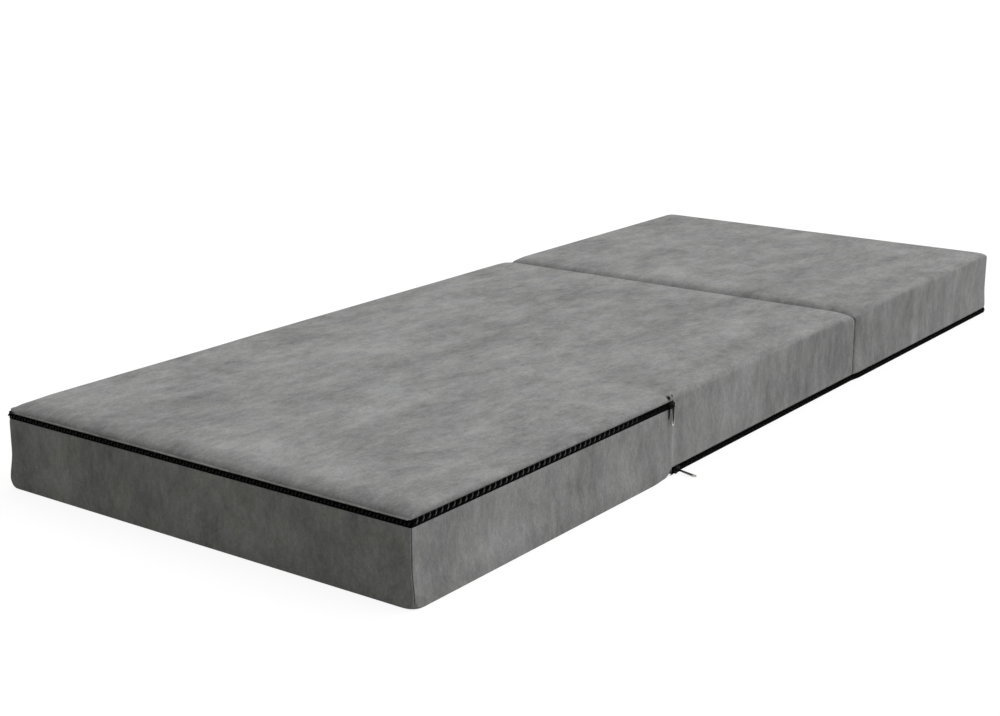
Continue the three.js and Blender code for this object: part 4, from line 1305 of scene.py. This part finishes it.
def bead(points, faces, centre, outward, ahead, length, width, height, lean, round_steps=4, sides=8):
    """Adds a rounded bar that stands across a line and leans along it. length is its size upwards."""
    base = len(points)
    up = np.array([0, 0, 1.0])
    # It thins out towards both ends, down to a small flat.
    for j in range(round_steps + 1):
        turn = math.pi * j / round_steps
        along = -math.cos(turn) * length / 2
        fat = max(math.sin(turn), 0.06) ** 0.6
        for k in range(sides):
            angle = 2 * math.pi * k / sides
            side = math.cos(angle) * width / 2 * fat
            out = math.sin(angle) * height / 2 * fat
            points.append(centre + up * along + ahead * (side + lean * along / length * 2) + outward * out)
    for j in range(round_steps):
        for k in range(sides):
            a, b = base + j * sides + k, base + j * sides + (k + 1) % sides
            faces.append((a, b, b + sides, a + sides))
    top = base + round_steps * sides
    faces += [tuple(reversed(range(base, base + sides))), tuple(range(top, top + sides))]


def bead_piece(name, beads, material, body, marks=None):
    """One piece of many beads. marks say how much painted highlight each one carries."""
    points, faces = [], []
    for shape in beads:
        bead(points, faces, *shape)
    mesh = bpy.data.meshes.new(name)
    mesh.from_pydata([tuple(p) for p in points], [], faces)
    if marks is not None:
        mark_points(mesh, "wear_and_highlight", np.repeat(marks, len(points) // len(beads)))
    for face in mesh.polygons:
        face.use_smooth = True
    piece = put_in_scene(name, mesh)
    dress(piece, material)
    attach(piece, body)
    return piece


# How far a tooth of the upper or the lower row stands above the zip's centre line and outwards, then its length
# upwards, its width along the tape and its depth, all in millimetres
upper_tooth = (0.7, 0.9, 5.2, 2.6, 2.0)
lower_tooth = (-0.7, 0.7, 4.6, 2.2, 1.6)
# The same of a highlit tooth, one that carries the painted highlight, in two parts: it stays in the slider's
# channel, and its foot beyond that is sewn flat on the tape
highlit_tooth = ((0.75, 0.9, 5.2, 2.1, 2.0), (4.3, -0.45, 2.4, 1.9, 0.5))
# How far a highlit tooth leans along for each millimetre up, and at what height it crosses its own place
highlit_lean, highlit_pivot = 0.78, 2.2


def teeth(prefix, path, height, ends, node, body, lean_sign, highlight_of=None):
    """Closed chain: slanted teeth, every other one from the lower tape and a little lower. highlight_of says how
    much painted highlight an upper tooth carries, from its place, and those teeth are a piece of their own."""
    pitch = bpy.context.scene.mattress_zips.tooth_pitch
    fresh_lean = 1.5 * MM
    fresh, light_marked, wear_and_highlight = [], [], []
    at, k = ends[0], 0
    while at < path[2][-1] - ends[1]:
        p, o, ahead = at_run(path, at)
        outward, along = np.array([o[0], o[1], 0]), np.array([ahead[0], ahead[1], 0])
        upper = k % 2 == 0
        share = highlight_of(p) if highlight_of and upper else 0
        if share > 0:
            for rise, out, length, width, depth in highlit_tooth:
                centre = np.array([p[0], p[1], height + rise * MM]) + outward * out * MM
                centre = centre + along * lean_sign * highlit_lean * (rise - highlit_pivot) * MM
                light_marked.append((centre, outward, along, length * MM, width * MM, depth * MM,
                             lean_sign * (highlit_lean / 2) * length * MM))
                wear_and_highlight.append(share)
        else:
            rise, out, length, width, depth = upper_tooth if upper else lower_tooth
            centre = np.array([p[0], p[1], height + rise * MM]) + outward * out * MM
            fresh.append((centre, outward, along, length * MM, width * MM, depth * MM, lean_sign * fresh_lean))
        at += pitch
        k += 1
    piece = bead_piece(prefix + "_nylon_teeth", fresh, "black_moulded_nylon", body)
    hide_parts(node)
    if light_marked:
        bead_piece(prefix + "_highlit_teeth", light_marked, "highlit_moulded_nylon", body, wear_and_highlight)


def stitches(name, path, heights, out, body):
    """Rows of stitches that hold the tapes to the cloth."""
    pitch = bpy.context.scene.mattress_zips.stitch_pitch
    margin, tall, thick, round_steps, sides = 3 * MM, 0.56 * MM, 0.6 * MM, 2, 6
    shapes = []
    for height in heights:
        at = margin
        while at < path[2][-1] - margin:
            p, o, ahead = at_run(path, at)
            outward, along = np.array([o[0], o[1], 0]), np.array([ahead[0], ahead[1], 0])
            centre = np.array([p[0], p[1], height]) + outward * out
            shapes.append((centre, outward, along, tall, pitch * 0.8, thick, 0.0, round_steps, sides))
            at += pitch
    bead_piece(name, shapes, "spun_polyester_thread", body)


def tape_profile(low, high):
    """Section through one tape, about 1 mm thick, with a slightly crowned outer face."""
    inner, outer, crown, rounding = -1.5 * MM, -0.55 * MM, 0.15 * MM, 0.5 * MM
    middle = (low + high) / 2
    return [(inner, low), (outer - crown, low), (outer, low + rounding), (outer + crown, middle),
            (outer, high - rounding), (outer - crown, high), (inner, high), (inner, middle)]


def zip_of(prefix, path, height, nodes, body, lean_sign, ends, highlight_of=None):
    """Two tapes, the teeth between them and their stitches. nodes are the upper tape, the lower tape and the
    teeth, and ends say how far from the line's ends the teeth stop."""
    half = bpy.context.scene.mattress_zips.strip / 2
    gap, seam_inset, seam_out = 0.15 * MM, 1.1 * MM, -0.35 * MM
    tape(prefix + "_upper_woven_tape", path, tape_profile(height + gap, height + half), nodes[0], body, 1.5)
    tape(prefix + "_lower_woven_tape", path, tape_profile(height - half, height - gap), nodes[1], body, 6.5)
    teeth(prefix, path, height, ends, nodes[2], body, lean_sign, highlight_of)
    seams = (height + half - seam_inset, height - half + seam_inset)
    stitches(prefix + "_tape_stitches", path, seams, seam_out, body)


def make_foot_zip():
    """Zip round three sides of the foot section. Its upper teeth carry a painted highlight on the near half of the
    right side.
    """
    sizes, zips = bpy.context.scene.mattress_sizes, bpy.context.scene.mattress_zips
    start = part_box("foot_zip_upper_tape")[1].y
    path = zip_path(start, tray_low.y, True, sizes.corner_radius)

    def highlight_of(p):
        """How much painted highlight a tooth carries: on the right side it starts at y -0.45 and is full 170 mm
        nearer.
        """
        return min(1.0, max(0.0, (-0.45 - p[1]) / 0.17)) if p[0] > sizes.half_width - 1 * MM else 0.0

    zip_of("foot_zip", path, zips.foot_height, ("foot_zip_upper_tape", "foot_zip_lower_tape", "foot_zip_teeth"),
           "foot_section", -1, (6 * MM, 6 * MM), highlight_of)
    # This black tape end below the foot slider also stands in for the pull's shadow on the side: a painted shadow.
    tape_tail("foot_zip_tape_tail_and_shadow", (
        ((400.6, -359.2, 112), 1.6, 0.6, 0.35), ((400.9, -359.3, 107), 1.5, 0.5, 0.35),
        ((401.0, -359.8, 102), 1.2, 0.4, 0.3), ((400.9, -360.6, 96), 0.4, 0.2, 0.2)), "foot_section")


def make_long_zip():
    """Zip round the base of the middle and head sections, in three runs."""
    sizes, zips = bpy.context.scene.mattress_sizes, bpy.context.scene.mattress_zips
    path = zip_path(head_fold_y + 0.1 * MM, head_high.y, False, sizes.corner_radius)
    stand_out(path[0], [0.0] * len(path[0]), path[0][:, 1] - head_fold_y, 30 * MM, sizes.head_spread)
    zip_of("head_zip", path, zips.main_height, ("head_zip_upper_tape", "head_zip_lower_tape", "head_zip_teeth"),
           "head_section", 1, (2 * MM, 2 * MM))
    for side, x in (("right", sizes.half_width), ("left", -sizes.half_width)):
        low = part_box("main_zip_upper_tape_" + side)[0]
        names = [part + "_" + side for part in ("main_zip_upper_tape", "main_zip_lower_tape", "main_zip_teeth")]
        path = side_path(x, low.y, head_fold_y - 0.1 * MM)
        zip_of("main_zip_" + side, path, zips.main_height, names, "middle_section", 1, (6 * MM, 2 * MM))
    tape_tail("main_zip_tape_tail", (
        ((400.6, -341.0, 3.2), 0.4, 2.6, 0.35), ((400.7, -344.5, 2.4), 0.4, 1.8, 0.35),
        ((400.7, -348.0, 1.5), 0.4, 0.9, 0.3), ((400.6, -351.0, 0.8), 0.2, 0.3, 0.2)), "middle_section")


def softened_copy(node, name, material, body, edge):
    """Copy of a rigid node with its sharp edges rounded off."""
    flat, sharp_corner, shaded_corner = math.radians(2), math.radians(35), math.radians(50)
    mesh = frame["nodes"][node].data.copy()
    mesh.name = name
    mesh.materials.clear()
    work = bmesh.new()
    work.from_mesh(mesh)
    bmesh.ops.remove_doubles(work, verts=work.verts, dist=0.01 * MM)
    bmesh.ops.dissolve_limit(work, angle_limit=flat, verts=work.verts, edges=work.edges)
    sharp = [e for e in work.edges if e.is_manifold and e.calc_face_angle(0) > sharp_corner]
    bmesh.ops.bevel(work, geom=sharp, offset=edge, segments=2, profile=0.5, affect="EDGES", clamp_overlap=True)
    for face in work.faces:
        face.smooth = True
    work.to_mesh(mesh)
    work.free()
    piece = put_in_scene(name, mesh)
    mesh.set_sharp_from_angle(angle=shaded_corner)
    dress(piece, material)
    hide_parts(node)
    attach(piece, body)
    return piece


def make_sliders_and_pulls():
    """Enamelled sliders and end stops, and nickel-plated pulls."""
    edge = 0.22 * MM
    for node, name, body in (
            ("foot_zip_slider", "foot_zip_slider_body", "foot_slider"),
            ("main_zip_slider", "main_zip_slider_body", "main_slider"),
            ("foot_zip_end_stop_right", "foot_zip_stop_right", "foot_section"),
            ("foot_zip_end_stop_left", "foot_zip_stop_left", "foot_section"),
            ("main_zip_end_stop_right", "main_zip_stop_right", "middle_section"),
            ("main_zip_end_stop_left", "main_zip_stop_left", "middle_section")):
        softened_copy(node, name, "black_stove_enamel_on_zinc", body, edge)
    pivots = {joint["child"]: joint.get("pos_m") for joint in frame["record"]["behaviour"]["joints"]}
    for node, name, body in (("foot_zip_pull", "foot_zip_pull_tab", "foot_pull"),
                             ("main_zip_pull", "main_zip_pull_tab", "main_pull")):
        piece = softened_copy(node, name, "nickel_plated_zinc", body, edge)
        # The last fifth of a pull, away from its pivot, is bright: a painted highlight.
        away = [(v.co - Vector(pivots[body])).length for v in piece.data.vertices]
        furthest = max(away)
        mark_points(piece.data, "wear_and_highlight", [min(1.0, max(0.0, (d / furthest - 0.78) / 0.14)) for d in away])


def seen_directly(tree):
    """Share that is 1 for rays from the camera and for what gloss or clear material shows, else 0."""
    light = add(tree, "LightPath")
    seen = add(tree, "Math", {"operation": "MAXIMUM"}, {
        0: light.outputs["Is Camera Ray"], 1: light.outputs["Is Glossy Ray"]})
    return add(tree, "Math", {"operation": "MAXIMUM"}, {
        0: seen.outputs[0], 1: light.outputs["Is Transmission Ray"]}).outputs[0]


def make_floor():
    """Pale paper floor. Seen directly it is near white with a soft shadow, and it lights the object as grey."""
    mesh = bpy.data.meshes.new("studio_floor")
    # It lies just below the underside, so that no two faces coincide.
    reach, level = 40.0, -0.3 * MM
    mesh.from_pydata([(-reach, -reach, level), (reach, -reach, level), (reach, reach, level),
                      (-reach, reach, level)], [], [(0, 1, 2, 3)])
    floor = put_in_scene("studio_floor", mesh)
    material, tree = new_material("matt_studio_paper")
    grey = add(tree, "BsdfDiffuse", sockets={"Color": (0.40, 0.40, 0.40, 1)})
    paper = add(tree, "BsdfDiffuse", sockets={"Color": (0.2, 0.2, 0.2, 1)})
    glow = add(tree, "Emission", sockets={"Color": (1, 1, 1, 1), "Strength": 0.86})
    bright = add(tree, "AddShader", sockets={0: paper.outputs[0], 1: glow.outputs[0]})
    both = add(tree, "MixShader", sockets={
        0: seen_directly(tree), 1: grey.outputs[0], 2: bright.outputs[0]})
    add(tree, "OutputMaterial", sockets={"Surface": both.outputs[0]})
    mesh.materials.append(material)


def make_sky(look):
    """Soft light from all round, brightest high on the right and the far side. Seen directly it is white."""
    world = bpy.data.worlds.new("white_studio")
    bpy.context.scene.world = world
    world.use_nodes = True
    tree = world.node_tree
    tree.nodes.clear()
    flat = math.cos(look.sky_height)
    bright_side = (flat * math.cos(look.sky_azimuth), flat * math.sin(look.sky_azimuth), math.sin(look.sky_height))
    towards = add(tree, "VectorMath", {"operation": "DOT_PRODUCT"}, {
        0: add(tree, "TexCoord").outputs["Generated"], 1: bright_side}).outputs["Value"]
    # The light falls off from its bright side with the fourth power of that share.
    share = add(tree, "Math", {"operation": "MULTIPLY_ADD"}, {0: towards, 1: 0.5, 2: 0.5}).outputs[0]
    falling = add(tree, "Math", {"operation": "POWER"}, {0: share, 1: 4.0}).outputs[0]
    strength = add(tree, "Math", {"operation": "MULTIPLY_ADD"}, {
        0: falling, 1: look.sky_strength, 2: look.sky_floor}).outputs[0]
    soft = add(tree, "Background", sockets={"Color": (1, 1, 1, 1), "Strength": strength})
    white = add(tree, "Background", sockets={"Color": (1, 1, 1, 1), "Strength": 1.0})
    both = add(tree, "MixShader", sockets={
        0: seen_directly(tree), 1: soft.outputs[0], 2: white.outputs[0]})
    add(tree, "OutputWorld", sockets={"Surface": both.outputs[0]})


def make_camera(look):
    """Camera at the photograph's angle."""
    camera = bpy.data.cameras.new("photo_camera")
    camera.lens = look.lens
    camera.sensor_width = 36
    camera.clip_end = 200
    eye = put_in_scene("photo_camera", camera)
    eye.location = look.eye
    ahead = Vector((-math.sin(look.azimuth) * math.cos(look.dip), math.cos(look.azimuth) * math.cos(look.dip),
                    -math.sin(look.dip)))
    eye.rotation_euler = ahead.to_track_quat("-Z", "Y").to_euler()
    bpy.context.scene.camera = eye


def make_stage():
    """Pale floor, white surroundings, soft light and the camera."""
    look = bpy.context.scene.mattress_stage
    bpy.context.scene.view_settings.view_transform = "Standard"
    make_floor()
    make_sky(look)
    make_camera(look)


class MATTRESS_OT_foam(bpy.types.Operator):
    """Make the foam block inside each section"""

    bl_idname = "mattress.foam"
    bl_label = "Foam blocks"

    def execute(self, context):
        make_foam_blocks()
        return {"FINISHED"}


class MATTRESS_OT_top_cloth(bpy.types.Operator):
    """Make the velour over the foot and the middle section"""

    bl_idname = "mattress.top_cloth"
    bl_label = "Top cloth"

    def execute(self, context):
        make_top_cloth()
        return {"FINISHED"}


class MATTRESS_OT_foot_tray(bpy.types.Operator):
    """Make the velour tray of the foot section"""

    bl_idname = "mattress.foot_tray"
    bl_label = "Foot tray"

    def execute(self, context):
        make_foot_tray()
        return {"FINISHED"}


class MATTRESS_OT_head_cover(bpy.types.Operator):
    """Make the velour cover of the head section"""

    bl_idname = "mattress.head_cover"
    bl_label = "Head cover"

    def execute(self, context):
        make_head_cover()
        return {"FINISHED"}


class MATTRESS_OT_undersides(bpy.types.Operator):
    """Make the velour under the middle and head sections"""

    bl_idname = "mattress.undersides"
    bl_label = "Undersides"

    def execute(self, context):
        make_undersides()
        return {"FINISHED"}


class MATTRESS_OT_linings(bpy.types.Operator):
    """Make the lining panels at the folds"""

    bl_idname = "mattress.linings"
    bl_label = "Fold linings"

    def execute(self, context):
        make_fold_linings()
        return {"FINISHED"}


class MATTRESS_OT_foot_zip(bpy.types.Operator):
    """Make the zip of the foot section"""

    bl_idname = "mattress.foot_zip"
    bl_label = "Foot zip"

    def execute(self, context):
        make_foot_zip()
        return {"FINISHED"}


class MATTRESS_OT_long_zip(bpy.types.Operator):
    """Make the zip round the base of the middle and head sections"""

    bl_idname = "mattress.long_zip"
    bl_label = "Long zip"

    def execute(self, context):
        make_long_zip()
        return {"FINISHED"}


class MATTRESS_OT_sliders(bpy.types.Operator):
    """Make the sliders, the pulls and the end stops"""

    bl_idname = "mattress.sliders"
    bl_label = "Sliders and pulls"

    def execute(self, context):
        make_sliders_and_pulls()
        return {"FINISHED"}


class MATTRESS_OT_stage(bpy.types.Operator):
    """Make the floor, the soft light and the camera"""

    bl_idname = "mattress.stage"
    bl_label = "Stage"

    def execute(self, context):
        make_stage()
        return {"FINISHED"}


operators = (
    MATTRESS_OT_stage, MATTRESS_OT_foam, MATTRESS_OT_top_cloth, MATTRESS_OT_foot_tray, MATTRESS_OT_head_cover,
    MATTRESS_OT_undersides, MATTRESS_OT_linings, MATTRESS_OT_foot_zip, MATTRESS_OT_long_zip, MATTRESS_OT_sliders)
groups = (("mattress_sizes", MattressSizes), ("mattress_zips", ZipSizes), ("mattress_cloth", ClothLook),
          ("mattress_stage", StageLook))


class MATTRESS_PT_panel(bpy.types.Panel):
    """Lists the pieces of the mattress"""

    bl_idname = "MATTRESS_PT_panel"
    bl_label = "Folding mattress"
    bl_space_type = "VIEW_3D"
    bl_region_type = "UI"
    bl_category = "Mattress"

    def draw(self, context):
        for operator in operators:
            self.layout.operator(operator.bl_idname)


def register():
    for _, group in groups:
        bpy.utils.register_class(group)
    for operator in operators:
        bpy.utils.register_class(operator)
    bpy.utils.register_class(MATTRESS_PT_panel)
    for name, group in groups:
        setattr(bpy.types.Scene, name, PointerProperty(type=group))


def unregister():
    for name, _ in groups:
        delattr(bpy.types.Scene, name)
    bpy.utils.unregister_class(MATTRESS_PT_panel)
    for operator in reversed(operators):
        bpy.utils.unregister_class(operator)
    for _, group in reversed(groups):
        bpy.utils.unregister_class(group)


def main():
    register()
    bpy.ops.mattress.stage()
    bpy.ops.mattress.foam()
    bpy.ops.mattress.top_cloth()
    bpy.ops.mattress.foot_tray()
    bpy.ops.mattress.head_cover()
    bpy.ops.mattress.undersides()
    bpy.ops.mattress.linings()
    bpy.ops.mattress.foot_zip()
    bpy.ops.mattress.long_zip()
    bpy.ops.mattress.sliders()
    bpy.context.view_layer.update()


if __name__ == "__main__":
    main()
